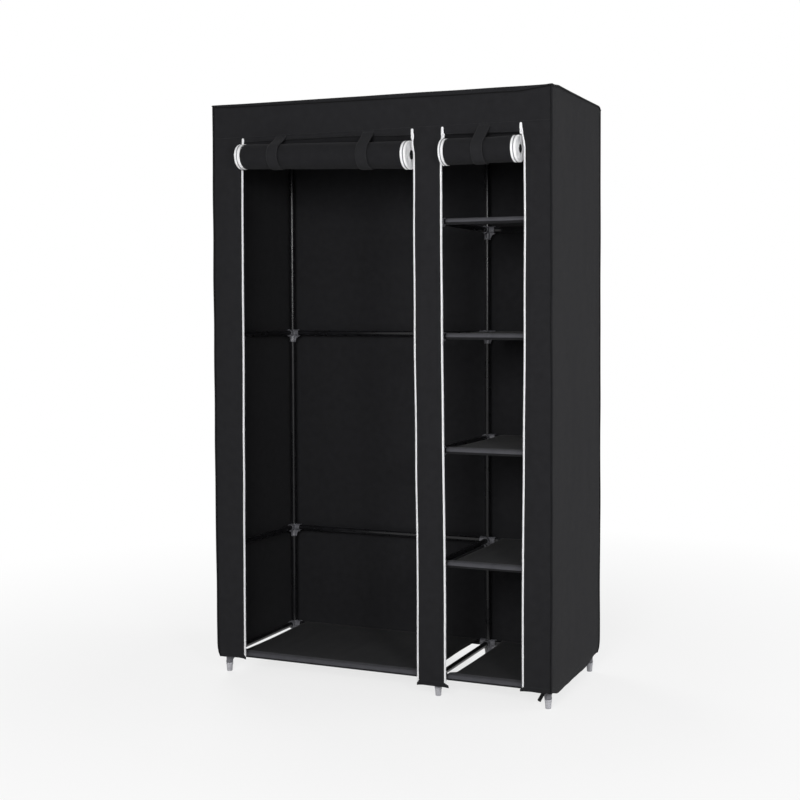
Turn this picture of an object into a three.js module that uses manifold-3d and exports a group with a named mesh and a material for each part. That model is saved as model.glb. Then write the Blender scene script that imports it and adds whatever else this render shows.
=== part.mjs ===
// Portable fabric wardrobe: a steel-tube frame with plastic connectors, a non-woven cover with two
// zipped roll-up doors, a wide hanging bay on the left and a narrow bay with five shelves on the right.
// Millimetres, +Z up. The doors face -Y and +X is to the right of someone who stands in front.
// The origin is under the middle of the whole wardrobe, on the floor.
import * as THREE from "three";
import { mergeVertices } from "three/addons/utils/BufferGeometryUtils.js";
import Module from "manifold-3d";

const wasm = await Module();
wasm.setup();

// Driving sizes

// The gap between two pieces that touch.
const seat = 0.3;

const cover = {
  width: 1100,
  depth: 450,
  height: 1750,
  cloth: 1.5,
  skirt: 12,
  header: 118,
  leftStile: 104,
  middleStile: 73,
  rightStile: 80,
  narrowOpening: 257,
  leftHem: 56,
  middleHem: 38,
  rightHem: 55,
  foldDepth: 4,
};

const tube = { radius: 8, wall: 0.6 };

const frame = {
  sideInset: 23,
  depthInset: 32,
  middleOffset: 10.5,
  capRise: 9.2,
};

const connector = {
  clearance: 0.3,
  wall: 2,
  flare: 1.2,
  reach: 26,
  longReach: 31,
  shortReach: 10.5,
  socketFloor: 2,
  web: 3,
  webSetback: 0.8,
  horn: 2.2,
  teeLength: 40,
};

const foot = { height: 26.7, toeRadius: 8.2, chamfer: 1, spigot: 18, spigotClearance: 0.3 };

const shelf = { cloth: 1.2, wideLeftSlack: 22, wideRightSlack: 2.5, narrowLeftSlack: 22, narrowRightSlack: 3 };

const zip = {
  tape: 0.8,
  hiddenWidth: 9,
  shownWidth: 8,
  beadWidth: 3,
  beadDepth: 2.4,
};

const door = {
  rollRadius: 39.5,
  coreRadius: 7,
  turns: 8,
  cloth: 1.5,
  setForward: 20,
  wideDrop: 54,
  narrowDrop: 60,
  windingRise: 1,
  windingWidth: 18,
  windingTape: 1.9,
  endClearance: 1,
};

const strap = { width: 38, thickness: 1.2, seam: 14, wideLeftShare: 0.235, wideRightShare: 0.765, narrowShare: 0.55 };

const slider = {
  width: 10,
  length: 14,
  plate: 1.2,
  clearance: 0.3,
  lip: 0.9,
  shoulder: 3,
  bottomWidth: 7,
  belowHeader: 4,
  lug: 1.2,
  lugRadius: 1.6,
  lugGap: 4,
  pinRadius: 0.8,
  pinStandOff: 2.6,
};

const tab = { length: 26, width: 8, thickness: 1.6, eyeRadius: 2.2, neck: 5, tipRadius: 3.6, setBack: 1.1 };

// How finely round things are cut.
const facets = { round: 8, web: 2, pin: 6, strap: 12, fold: 6 };
const halfFacet = Math.PI / facets.round;
const spiralSteps = { least: 6, gain: 10 };

// The six levels of rails, from the floor up, and which of them each bay uses.
const levelNames = ["bottom", "second", "third", "fourth", "fifth", "top"];
const everyLevel = [0, 1, 2, 3, 4, 5];
const topIndex = 5;
const wideBay = { name: "wide", frontRails: [0, 5], backRails: [0, 1, 3, 5], shelves: [0] };
const narrowBay = { name: "narrow", frontRails: everyLevel, backRails: everyLevel, shelves: [0, 1, 2, 3, 4] };

// Sizes that follow from the driving ones

const coverTopUnderside = cover.height - cover.cloth;
const skirtBottom = cover.height - cover.skirt;
const panelTop = skirtBottom - seat;
const headerBottom = cover.height - cover.header;
const insideCover = cover.cloth + seat;

const rightEdge = cover.width / 2;
const leftEdge = -rightEdge;
const wideOpeningLeft = leftEdge + cover.leftStile;
const narrowOpeningRight = rightEdge - cover.rightStile;
const narrowOpeningLeft = narrowOpeningRight - cover.narrowOpening;
const wideOpeningRight = narrowOpeningLeft - cover.middleStile;

const leftColumn = leftEdge + frame.sideInset;
const rightColumn = rightEdge - frame.sideInset;
const middleColumn = (wideOpeningRight + narrowOpeningLeft) / 2 + frame.middleOffset;
const frontRow = frame.depthInset;
const backRow = cover.depth - frame.depthInset;
const middleRow = (frontRow + backRow) / 2;

const tubeBore = tube.radius - tube.wall;
const socketRadius = tube.radius + connector.clearance;
const sleeveRadius = socketRadius + connector.wall;
const mouthRadius = sleeveRadius + connector.flare;
const socketDepthFromAxis = tube.radius + connector.socketFloor;

const bottomLevel = foot.height + seat + connector.longReach;
const topLevel = coverTopUnderside - seat - frame.capRise - connector.longReach;
const levelPitch = (topLevel - bottomLevel) / topIndex;
const levelHeight = (index) => bottomLevel + levelPitch * index;

const tapeFront = insideCover;
const tapeMiddle = tapeFront + zip.tape / 2;
const tapeTop = headerBottom - seat;

const rollEndInset = zip.shownWidth - zip.beadWidth / 2 + slider.width / 2 + door.endClearance;
const sliderTop = headerBottom - slider.belowHeader;
const sliderMiddle = sliderTop - slider.length / 2;

const sliderBackFace = zip.beadDepth / 2 + slider.clearance + slider.plate;
const pinForward = sliderBackFace + slider.pinStandOff;

// Materials

const finish = (color, roughness, metalness) => new THREE.MeshStandardMaterial({ color, roughness, metalness });
const blackCloth = finish(0x262627, 0.95, 0);
const sleeveCloth = finish(0x4b4b50, 0.95, 0);
const coatedSteel = finish(0x2c2c2e, 0.45, 0.4);
const greyPlastic = finish(0xafafb4, 0.5, 0);
const whiteTape = finish(0xf2f2f4, 0.8, 0);
const whitePlastic = finish(0xededf0, 0.4, 0);

// Ways to make and join solids

const wardrobe = new THREE.Group();

// Adds a named piece to the wardrobe.
function addPiece(name, geometry, material) {
  const mesh = new THREE.Mesh(geometry, material);
  mesh.name = name;
  wardrobe.add(mesh);
  return mesh;
}

// A closed geometry as a solid that can be joined and cut.
function solidOf(geometry) {
  const bare = geometry.clone();
  bare.deleteAttribute("normal");
  bare.deleteAttribute("uv");
  const merged = mergeVertices(bare);
  return new wasm.Manifold(
    new wasm.Mesh({
      numProp: 3,
      vertProperties: merged.attributes.position.array,
      triVerts: new Uint32Array(merged.index.array),
    }),
  );
}

// The geometry of a joined or cut solid.
function geometryOf(solid) {
  const mesh = solid.getMesh();
  const geometry = new THREE.BufferGeometry();
  geometry.setAttribute("position", new THREE.BufferAttribute(mesh.vertProperties, 3));
  geometry.setIndex(new THREE.BufferAttribute(mesh.triVerts, 1));
  const flat = geometry.toNonIndexed();
  flat.computeVertexNormals();
  return flat;
}

// Several geometries joined into one solid.
function joined(geometries) {
  return geometries.map(solidOf).reduce((whole, next) => whole.add(next));
}

const box = (width, depth, height, x, y, z) =>
  new THREE.BoxGeometry(width, depth, height).translate(x, y, z);

// A rod or cone between two points, given from the lower coordinate to the higher, so that rods on one
// axis have their facets in line.
function rod(start, end, radius, sides, endRadius = radius) {
  const along = new THREE.Vector3().subVectors(end, start);
  const geometry = new THREE.CylinderGeometry(endRadius, radius, along.length(), sides, 1, false, Math.PI / sides);
  const turn = new THREE.Quaternion().setFromUnitVectors(new THREE.Vector3(0, 1, 0), along.normalize());
  geometry.applyQuaternion(turn);
  const middle = new THREE.Vector3().addVectors(start, end).multiplyScalar(0.5);
  return geometry.translate(middle.x, middle.y, middle.z);
}

// Extrudes an outline drawn in Y and Z along X, between two places on X.
function extrudeAlongX(outline, from, to, curveSegments) {
  const geometry = new THREE.ExtrudeGeometry(outline, {
    depth: to - from,
    bevelEnabled: false,
    curveSegments,
  });
  const turn = new THREE.Matrix4().makeBasis(
    new THREE.Vector3(0, 1, 0),
    new THREE.Vector3(0, 0, 1),
    new THREE.Vector3(1, 0, 0),
  );
  return geometry.applyMatrix4(turn).translate(from, 0, 0);
}

// Extrudes an outline drawn in X and Z along Y, between two places on Y.
function extrudeAlongY(outline, from, to, curveSegments) {
  const geometry = new THREE.ExtrudeGeometry(outline, {
    depth: to - from,
    bevelEnabled: false,
    curveSegments,
  });
  const turn = new THREE.Matrix4().makeBasis(
    new THREE.Vector3(1, 0, 0),
    new THREE.Vector3(0, 0, 1),
    new THREE.Vector3(0, -1, 0),
  );
  return geometry.applyMatrix4(turn).translate(0, to, 0);
}

// The outline of a strip of an even thickness that follows a path.
function stripOutline(path, thickness) {
  const half = thickness / 2;
  const sides = [1, -1].map((side) =>
    path.map((point, i) => {
      const before = path[Math.max(i - 1, 0)];
      const after = path[Math.min(i + 1, path.length - 1)];
      const incoming = point.clone().sub(before);
      const outgoing = after.clone().sub(point);
      const first = incoming.lengthSq() > 0 ? incoming.normalize() : outgoing.clone().normalize();
      const second = outgoing.lengthSq() > 0 ? outgoing.normalize() : first.clone();
      const along = first.clone().add(second).normalize();
      const mitre = half / Math.max(along.dot(first), 0.5);
      return new THREE.Vector2(-along.y, along.x).multiplyScalar(mitre * side).add(point);
    }),
  );
  return new THREE.Shape([...sides[0], ...sides[1].reverse()]);
}

// Where the straight line from a point touches a circle: the angle of the touching point, on the side
// that turnSign gives.
function tangentAngle(point, centre, radius, turnSign) {
  const away = point.clone().sub(centre);
  return Math.atan2(away.y, away.x) + turnSign * Math.acos(radius / away.length());
}

const onCircle = (centre, radius, angle) =>
  new THREE.Vector2(Math.cos(angle), Math.sin(angle)).multiplyScalar(radius).add(centre);

// A spiral from its outer end inwards, under, up the front and over, with longer steps near the core.
function spiralPath(centre, outerRadius, innerRadius, turns, startAngle) {
  const path = [];
  const whole = turns * 2 * Math.PI;
  let turned = 0;
  while (turned < whole) {
    const radius = outerRadius - (outerRadius - innerRadius) * (turned / whole);
    path.push(onCircle(centre, radius, startAngle - turned));
    const steps = spiralSteps.least + spiralSteps.gain * (radius / outerRadius);
    turned += (2 * Math.PI) / steps;
  }
  path.push(onCircle(centre, innerRadius, startAngle - whole));
  return path;
}

// The least clear gap between the turns of a wound strip, measured from each point of its path to the
// stretches more than half a turn away.
function leastGap(path, thickness) {
  const nearest = new THREE.Vector2();
  let least = Infinity;
  for (let i = 0; i < path.length; i += 1) {
    for (let j = i + spiralSteps.least; j < path.length - 1; j += 1) {
      const along = path[j + 1].clone().sub(path[j]);
      const share = THREE.MathUtils.clamp(
        path[i].clone().sub(path[j]).dot(along) / along.lengthSq(),
        0,
        1,
      );
      nearest.copy(path[j]).addScaledVector(along, share);
      least = Math.min(least, nearest.distanceTo(path[i]));
    }
  }
  return least - thickness;
}

// Frame: three ladders of two columns each, with their depth tubes and connectors

// The outline of the web under one arm of a connector: a horn at the mouth and a hollow curve to the end
// of the sleeve's long leg.
function webOutline(sign, flip) {
  const tip = connector.reach - connector.webSetback;
  const horn = mouthRadius + connector.horn;
  const shape = new THREE.Shape();
  shape.moveTo(0, 0);
  shape.lineTo(sign * tip, 0);
  shape.lineTo(sign * tip, -flip * horn);
  shape.quadraticCurveTo(
    sign * mouthRadius,
    -flip * horn,
    sign * (sleeveRadius + connector.horn / 2),
    -flip * connector.longReach,
  );
  shape.lineTo(0, -flip * connector.longReach);
  return shape;
}

// The solid parts of one connector on a column: its sleeve, arms and webs.
function connectorParts(x, y, z, depthSign, armSigns, flip) {
  const parts = [];
  const low = z - (flip > 0 ? connector.longReach : connector.shortReach);
  const high = z + (flip > 0 ? connector.shortReach : connector.longReach);
  parts.push(
    rod(new THREE.Vector3(x, y, low), new THREE.Vector3(x, y, high), sleeveRadius, facets.round),
  );
  const reachY = y + depthSign * connector.reach;
  const [nearY, farY] = depthSign > 0 ? [y, reachY] : [reachY, y];
  const [nearRadius, farRadius] = depthSign > 0 ? [sleeveRadius, mouthRadius] : [mouthRadius, sleeveRadius];
  parts.push(
    rod(
      new THREE.Vector3(x, nearY, z),
      new THREE.Vector3(x, farY, z),
      nearRadius,
      facets.round,
      farRadius,
    ),
    extrudeAlongX(webOutline(depthSign, flip), -connector.web / 2, connector.web / 2, facets.web).translate(
      x,
      y,
      z,
    ),
  );
  for (const sign of armSigns) {
    parts.push(
      armPart(x, y, z, sign),
      extrudeAlongY(webOutline(sign, flip), -connector.web / 2, connector.web / 2, facets.web).translate(
        x,
        y,
        z,
      ),
    );
  }
  return parts;
}

// A flared arm towards a bay, as a cone from the axis to its mouth.
function armPart(x, y, z, sign) {
  const mouth = x + sign * connector.reach;
  const ends = sign > 0 ? [x, mouth] : [mouth, x];
  const radii = sign > 0 ? [sleeveRadius, mouthRadius] : [mouthRadius, sleeveRadius];
  return rod(
    new THREE.Vector3(ends[0], y, z),
    new THREE.Vector3(ends[1], y, z),
    radii[0],
    facets.round,
    radii[1],
  );
}

// The blind socket in an arm, which a rail's end goes into.
function socketCut(x, y, z, sign) {
  const floor = x + sign * socketDepthFromAxis;
  const beyond = x + sign * (connector.reach + connector.wall);
  const ends = sign > 0 ? [floor, beyond] : [beyond, floor];
  return rod(
    new THREE.Vector3(ends[0], y, z),
    new THREE.Vector3(ends[1], y, z),
    socketRadius,
    facets.round,
  );
}

// One ladder: two columns, the depth tubes on its rungs, their connectors and a domed cap on each column.
function ladder({ name, x, rungs, arms, hangerSign }) {
  const solids = [];
  const cuts = [];
  const columnFoot = foot.height + seat;
  for (const y of [frontRow, backRow]) {
    const depthSign = y === frontRow ? 1 : -1;
    const capTop = topLevel + connector.longReach;
    solids.push(rod(new THREE.Vector3(x, y, columnFoot), new THREE.Vector3(x, y, capTop), tube.radius, facets.round));
    solids.push(
      rod(
        new THREE.Vector3(x, y, capTop),
        new THREE.Vector3(x, y, capTop + frame.capRise),
        sleeveRadius,
        facets.round,
        tube.radius,
      ),
    );
    cuts.push(
      rod(
        new THREE.Vector3(x, y, columnFoot - connector.wall),
        new THREE.Vector3(x, y, capTop - connector.wall),
        tubeBore,
        facets.round,
      ),
    );
    for (const level of rungs) {
      const z = levelHeight(level);
      const flip = level === topIndex ? -1 : 1;
      const armSigns = arms.filter((arm) => arm.row === y && arm.levels.includes(level)).map((arm) => arm.sign);
      solids.push(...connectorParts(x, y, z, depthSign, armSigns, flip));
      cuts.push(...armSigns.map((sign) => socketCut(x, y, z, sign)));
    }
  }
  for (const level of rungs) {
    const z = levelHeight(level);
    const ends = [new THREE.Vector3(x, frontRow, z), new THREE.Vector3(x, backRow, z)];
    solids.push(rod(ends[0], ends[1], tube.radius, facets.round));
    cuts.push(rod(ends[0], ends[1], tubeBore, facets.round));
  }
  if (hangerSign) {
    const half = connector.teeLength / 2;
    solids.push(
      rod(
        new THREE.Vector3(x, middleRow - half, topLevel),
        new THREE.Vector3(x, middleRow + half, topLevel),
        sleeveRadius,
        facets.round,
      ),
      armPart(x, middleRow, topLevel, hangerSign),
    );
    cuts.push(socketCut(x, middleRow, topLevel, hangerSign));
  }
  const whole = joined(solids).subtract(joined(cuts));
  addPiece(name, geometryOf(whole), coatedSteel);
}

const armsOf = (bay, sign) => [
  { row: frontRow, sign, levels: bay.frontRails },
  { row: backRow, sign, levels: bay.backRails },
];
ladder({
  name: "left_end_frame",
  x: leftColumn,
  rungs: wideBay.backRails,
  arms: armsOf(wideBay, 1),
  hangerSign: 1,
});
ladder({
  name: "middle_frame",
  x: middleColumn,
  rungs: everyLevel,
  arms: [...armsOf(wideBay, -1), ...armsOf(narrowBay, 1)],
  hangerSign: -1,
});
ladder({
  name: "right_end_frame",
  x: rightColumn,
  rungs: everyLevel,
  arms: armsOf(narrowBay, -1),
  hangerSign: 0,
});

// Rails: hollow tubes whose ends stand in the connectors' sockets

function railGeometry(from, to, y, z) {
  const start = from + socketDepthFromAxis + seat;
  const length = to - socketDepthFromAxis - seat - start;
  const profile = [
    new THREE.Vector2(tubeBore, 0),
    new THREE.Vector2(tube.radius, 0),
    new THREE.Vector2(tube.radius, length),
    new THREE.Vector2(tubeBore, length),
    new THREE.Vector2(tubeBore, 0),
  ];
  const geometry = new THREE.LatheGeometry(profile, facets.round, halfFacet);
  return geometry.rotateZ(-Math.PI / 2).translate(start, y, z);
}

function addRails(bay, from, to) {
  for (const level of bay.frontRails)
    addPiece(
      `${bay.name}_front_rail_${levelNames[level]}`,
      railGeometry(from, to, frontRow, levelHeight(level)),
      coatedSteel,
    );
  for (const level of bay.backRails)
    addPiece(
      `${bay.name}_back_rail_${levelNames[level]}`,
      railGeometry(from, to, backRow, levelHeight(level)),
      coatedSteel,
    );
}
addRails(wideBay, leftColumn, middleColumn);
addRails(narrowBay, middleColumn, rightColumn);
addPiece("hanging_rail", railGeometry(leftColumn, middleColumn, middleRow, topLevel), coatedSteel);

// Feet: tapered caps under the columns, each with a spigot up the tube

function footGeometry() {
  const spigotRadius = tubeBore - foot.spigotClearance;
  const profile = [
    new THREE.Vector2(0, 0),
    new THREE.Vector2(foot.toeRadius - foot.chamfer, 0),
    new THREE.Vector2(foot.toeRadius, foot.chamfer),
    new THREE.Vector2(sleeveRadius, foot.height),
    new THREE.Vector2(spigotRadius, foot.height),
    new THREE.Vector2(spigotRadius, foot.height + foot.spigot),
    new THREE.Vector2(0, foot.height + foot.spigot),
  ];
  return new THREE.LatheGeometry(profile, facets.round, halfFacet).rotateX(Math.PI / 2);
}
const columns = { left: leftColumn, middle: middleColumn, right: rightColumn };
const rows = { front: frontRow, back: backRow };
for (const [columnName, x] of Object.entries(columns))
  for (const [rowName, y] of Object.entries(rows))
    addPiece(`foot_${rowName}_${columnName}`, footGeometry(), greyPlastic).position.set(x, y, 0);

// Shelves: a cloth panel with a sleeve along its front and back edge, each round a rail

function shelfOutline() {
  const outer = socketRadius + shelf.cloth;
  const half = shelf.cloth / 2;
  const lap = Math.asin(half / outer);
  const outline = new THREE.Shape();
  outline.absarc(frontRow, 0, outer, lap, 2 * Math.PI - lap, false);
  outline.absarc(backRow, 0, outer, lap - Math.PI, Math.PI - lap, false);
  for (const y of [frontRow, backRow]) {
    const bore = new THREE.Path();
    bore.absarc(y, 0, socketRadius, halfFacet, 2 * Math.PI + halfFacet, false);
    outline.holes.push(bore);
  }
  return outline;
}

function addShelves(bay, from, to) {
  for (const level of bay.shelves) {
    const geometry = extrudeAlongX(shelfOutline(), from, to, facets.round / 2);
    addPiece(`${bay.name}_shelf_${levelNames[level]}`, geometry, sleeveCloth).position.z = levelHeight(level);
  }
}
addShelves(
  wideBay,
  leftColumn + connector.reach + shelf.wideLeftSlack,
  middleColumn - connector.reach - shelf.wideRightSlack,
);
addShelves(
  narrowBay,
  middleColumn + connector.reach + shelf.narrowLeftSlack,
  rightColumn - connector.reach - shelf.narrowRightSlack,
);

// Cover: top, back, two sides and a front of header and stiles, open below its hem

function coverTopGeometry() {
  const outer = box(cover.width, cover.depth, cover.skirt, 0, cover.depth / 2, cover.height - cover.skirt / 2);
  const hollow = box(
    cover.width - 2 * cover.cloth,
    cover.depth - 2 * cover.cloth,
    cover.skirt,
    0,
    cover.depth / 2,
    coverTopUnderside - cover.skirt / 2,
  );
  return geometryOf(solidOf(outer).subtract(solidOf(hollow)));
}
addPiece("cover_top", coverTopGeometry(), blackCloth);

// A hanging panel as a plan outline: flat on its outside at both edges, drawn in between them by soft folds.
function foldedPanel(length, folds) {
  const steps = folds * facets.fold;
  const path = [];
  for (let i = 0; i <= steps; i += 1) {
    const drawnIn = cover.foldDepth * Math.sin((Math.PI * folds * i) / steps) ** 2;
    path.push(new THREE.Vector2((length * i) / steps, cover.cloth / 2 + drawnIn));
  }
  return stripOutline(path, cover.cloth);
}

function panelGeometry(outline, hem) {
  return new THREE.ExtrudeGeometry(outline, { depth: panelTop - hem, bevelEnabled: false });
}

const sideLength = cover.depth - 2 * insideCover;
const leftSide = addPiece("cover_left_side", panelGeometry(foldedPanel(sideLength, 2), cover.leftHem), blackCloth);
leftSide.rotation.z = -Math.PI / 2;
leftSide.position.set(leftEdge, cover.depth - insideCover, cover.leftHem);
const rightSide = addPiece("cover_right_side", panelGeometry(foldedPanel(sideLength, 2), cover.rightHem), blackCloth);
rightSide.rotation.z = Math.PI / 2;
rightSide.position.set(rightEdge, insideCover, cover.rightHem);
const back = addPiece("cover_back", panelGeometry(foldedPanel(cover.width, 4), cover.rightHem), blackCloth);
back.rotation.z = Math.PI;
back.position.set(rightEdge, cover.depth, cover.rightHem);

function coverFrontOutline() {
  const shape = new THREE.Shape();
  shape.moveTo(leftEdge, panelTop);
  shape.lineTo(leftEdge, cover.leftHem);
  shape.lineTo(wideOpeningLeft, cover.leftHem);
  shape.lineTo(wideOpeningLeft, headerBottom);
  shape.lineTo(wideOpeningRight, headerBottom);
  shape.lineTo(wideOpeningRight, cover.middleHem);
  shape.lineTo(narrowOpeningLeft, cover.middleHem);
  shape.lineTo(narrowOpeningLeft, headerBottom);
  shape.lineTo(narrowOpeningRight, headerBottom);
  shape.lineTo(narrowOpeningRight, cover.rightHem);
  shape.lineTo(rightEdge, cover.rightHem);
  shape.lineTo(rightEdge, panelTop);
  return shape;
}
addPiece("cover_front", extrudeAlongY(coverFrontOutline(), 0, cover.cloth), blackCloth);

// Doors: each cloth is rolled up in front of its opening, with the zip tape of its side edges wound at both
// ends of the roll, and straps from the header hold it

// The middle of a roll, from how far it hangs below the header.
const rollCentre = (drop) => new THREE.Vector2(-door.setForward, headerBottom - drop);

const doorCloth = {
  outer: door.rollRadius - door.cloth / 2,
  inner: door.coreRadius + door.cloth / 2,
};

function doorRollPath(centre) {
  const top = new THREE.Vector2(cover.cloth / 2, headerBottom - seat);
  const leaves = tangentAngle(top, centre, doorCloth.outer, -1);
  return [top, ...spiralPath(centre, doorCloth.outer, doorCloth.inner, door.turns, leaves)];
}

function windingPath(centre) {
  const outer = door.rollRadius + door.windingRise - door.windingTape / 2;
  return spiralPath(centre, outer, door.coreRadius + door.windingTape / 2, door.turns, Math.PI / 3);
}

function strapPath(centre) {
  const circle = door.rollRadius + seat + strap.thickness / 2;
  const frontY = -seat - strap.thickness / 2;
  const backY = cover.cloth + seat + strap.thickness / 2;
  const front = new THREE.Vector2(frontY, headerBottom);
  const back = new THREE.Vector2(backY, headerBottom);
  const touches = tangentAngle(front, centre, circle, 1);
  const leaves = tangentAngle(back, centre, circle, -1) + 2 * Math.PI;
  const path = [new THREE.Vector2(frontY, headerBottom + strap.seam), front];
  for (let i = 0; i <= facets.strap; i += 1)
    path.push(onCircle(centre, circle, touches + ((leaves - touches) * i) / facets.strap));
  path.push(back, new THREE.Vector2(backY, headerBottom + strap.seam));
  return path;
}

function addDoor(name, openingLeft, openingRight, drop, strapPlaces) {
  const centre = rollCentre(drop);
  const left = openingLeft + rollEndInset;
  const right = openingRight - rollEndInset;
  const clothLeft = left + door.windingWidth + seat;
  const clothRight = right - door.windingWidth - seat;
  const winding = stripOutline(windingPath(centre), door.windingTape);
  addPiece(
    `${name}_door_roll`,
    extrudeAlongX(stripOutline(doorRollPath(centre), door.cloth), clothLeft, clothRight),
    blackCloth,
  );
  addPiece(`${name}_zip_winding_left`, extrudeAlongX(winding, left, left + door.windingWidth), whiteTape);
  addPiece(`${name}_zip_winding_right`, extrudeAlongX(winding, right - door.windingWidth, right), whiteTape);
  for (const [strapName, share] of Object.entries(strapPlaces)) {
    const middle = left + (right - left) * share;
    addPiece(
      `${name}_${strapName}`,
      extrudeAlongX(
        stripOutline(strapPath(centre), strap.thickness),
        middle - strap.width / 2,
        middle + strap.width / 2,
      ),
      blackCloth,
    );
  }
}
addDoor("wide", wideOpeningLeft, wideOpeningRight, door.wideDrop, {
  strap_left: strap.wideLeftShare,
  strap_right: strap.wideRightShare,
});
addDoor("narrow", narrowOpeningLeft, narrowOpeningRight, door.narrowDrop, { strap: strap.narrowShare });

console.log(`least gap in the door cloth's roll: ${leastGap(doorRollPath(rollCentre(door.wideDrop)), door.cloth).toFixed(2)} mm`);
console.log(`least gap in a zip winding: ${leastGap(windingPath(rollCentre(door.wideDrop)), door.windingTape).toFixed(2)} mm`);

// Zips: a tape behind each edge of an opening, and a slider with a pull tab on it

// The plan outline of a tape, from its hidden edge to the bead along its free edge.
function tapeOutline(sign) {
  const beadStart = zip.shownWidth - zip.beadWidth;
  const half = { tape: zip.tape / 2, bead: zip.beadDepth / 2 };
  const points = [
    [-zip.hiddenWidth, -half.tape],
    [beadStart, -half.tape],
    [beadStart, -half.bead],
    [zip.shownWidth, -half.bead],
    [zip.shownWidth, half.bead],
    [beadStart, half.bead],
    [beadStart, half.tape],
    [-zip.hiddenWidth, half.tape],
  ];
  return new THREE.Shape(points.map(([x, y]) => new THREE.Vector2(sign * x, y)));
}

// One plate of a slider in X and Z, with its shoulders at the top.
function sliderPlateOutline() {
  const half = slider.width / 2;
  const top = slider.length / 2;
  const shape = new THREE.Shape();
  shape.moveTo(-half + slider.shoulder / 2, top);
  shape.lineTo(half - slider.shoulder / 2, top);
  shape.lineTo(half, top - slider.shoulder);
  shape.lineTo(slider.bottomWidth / 2, -top);
  shape.lineTo(-slider.bottomWidth / 2, -top);
  shape.lineTo(-half, top - slider.shoulder);
  return shape;
}

// A slider round the bead: two plates joined by a post on the side of the opening, a lip each side of the
// tape's slot, and two lugs in front with the pin that the pull tab hangs on.
function sliderGeometry(sign) {
  const inside = zip.beadDepth / 2 + slider.clearance;
  const beadSide = zip.beadWidth / 2 + slider.clearance;
  const slot = zip.tape / 2 + slider.clearance;
  const plateFace = inside + slider.plate;
  const lipDepth = inside - slot;
  const innerHeight = slider.length - 2 * slider.shoulder;
  const postWidth = slider.bottomWidth / 2 - beadSide;
  const pinY = -pinForward;
  const lugMiddle = slider.lugGap / 2 + slider.lug / 2;
  const overlap = slider.plate / 2;
  const parts = [
    extrudeAlongY(sliderPlateOutline(), -plateFace, -inside),
    extrudeAlongY(sliderPlateOutline(), inside, plateFace),
    box(postWidth, 2 * inside + overlap, innerHeight, sign * (beadSide + postWidth / 2), 0, 0),
    box(
      slider.lip,
      lipDepth + overlap,
      innerHeight,
      -sign * (beadSide + slider.lip / 2),
      -slot - (lipDepth + overlap) / 2,
      0,
    ),
    box(
      slider.lip,
      lipDepth + overlap,
      innerHeight,
      -sign * (beadSide + slider.lip / 2),
      slot + (lipDepth + overlap) / 2,
      0,
    ),
    rod(
      new THREE.Vector3(-lugMiddle, pinY, 0),
      new THREE.Vector3(lugMiddle, pinY, 0),
      slider.pinRadius,
      facets.pin,
    ),
  ];
  for (const side of [-1, 1]) {
    const inner = (side * slider.lugGap) / 2;
    const outer = inner + side * slider.lug;
    const lugDepth = pinForward - plateFace + overlap;
    parts.push(
      rod(
        new THREE.Vector3(Math.min(inner, outer), pinY, 0),
        new THREE.Vector3(Math.max(inner, outer), pinY, 0),
        slider.lugRadius,
        facets.pin,
      ),
      box(slider.lug, lugDepth, 2 * slider.lugRadius * Math.cos(Math.PI / facets.pin), (inner + outer) / 2, pinY + lugDepth / 2, 0),
    );
  }
  return geometryOf(joined(parts));
}

// A pull tab, which points up at rest and leans on the header: an eye round the pin, a neck and a plate
// with a round tip. Its own zero is the middle of the pin.
function tabGeometry() {
  const eyeWidth = slider.lugGap - 2 * slider.clearance;
  const outline = new THREE.Shape();
  outline.moveTo(-eyeWidth / 2, 0);
  outline.lineTo(eyeWidth / 2, 0);
  outline.lineTo(eyeWidth / 2, tab.neck - tab.thickness);
  outline.lineTo(tab.width / 2, tab.neck + tab.thickness);
  outline.lineTo(tab.tipRadius, tab.length - tab.tipRadius);
  outline.absarc(0, tab.length - tab.tipRadius, tab.tipRadius, 0, Math.PI, false);
  outline.lineTo(-tab.width / 2, tab.neck + tab.thickness);
  outline.lineTo(-eyeWidth / 2, tab.neck - tab.thickness);
  const plateBack = tab.setBack + tab.thickness / 2;
  const plate = solidOf(extrudeAlongY(outline, plateBack - tab.thickness, plateBack, facets.web));
  const ends = [new THREE.Vector3(-eyeWidth / 2, 0, 0), new THREE.Vector3(eyeWidth / 2, 0, 0)];
  const eye = solidOf(rod(ends[0], ends[1], tab.eyeRadius, facets.round));
  const beyond = slider.lug;
  const hole = solidOf(
    rod(
      new THREE.Vector3(-eyeWidth / 2 - beyond, 0, 0),
      new THREE.Vector3(eyeWidth / 2 + beyond, 0, 0),
      slider.pinRadius + slider.clearance,
      facets.round,
    ),
  );
  return geometryOf(plate.add(eye).subtract(hole));
}

const zips = [
  { name: "wide_zip_left", edge: wideOpeningLeft, sign: 1, hem: cover.leftHem },
  { name: "wide_zip_right", edge: wideOpeningRight, sign: -1, hem: cover.middleHem },
  { name: "narrow_zip_left", edge: narrowOpeningLeft, sign: 1, hem: cover.middleHem },
  { name: "narrow_zip_right", edge: narrowOpeningRight, sign: -1, hem: cover.rightHem },
];
for (const { name, edge, sign, hem } of zips) {
  const tape = new THREE.ExtrudeGeometry(tapeOutline(sign), { depth: tapeTop - hem, bevelEnabled: false });
  addPiece(`${name}_tape`, tape, whiteTape).position.set(edge, tapeMiddle, hem);
  const beadX = edge + sign * (zip.shownWidth - zip.beadWidth / 2);
  const slide = new THREE.Group();
  slide.position.set(beadX, tapeMiddle, sliderMiddle);
  const sliderPiece = addPiece(`${name}_slider`, sliderGeometry(sign), whitePlastic);
  const tabPiece = addPiece(`${name}_pull_tab`, tabGeometry(), whitePlastic);
  tabPiece.position.y = -pinForward;
  slide.add(sliderPiece, tabPiece);
  wardrobe.add(slide);
}

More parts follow.
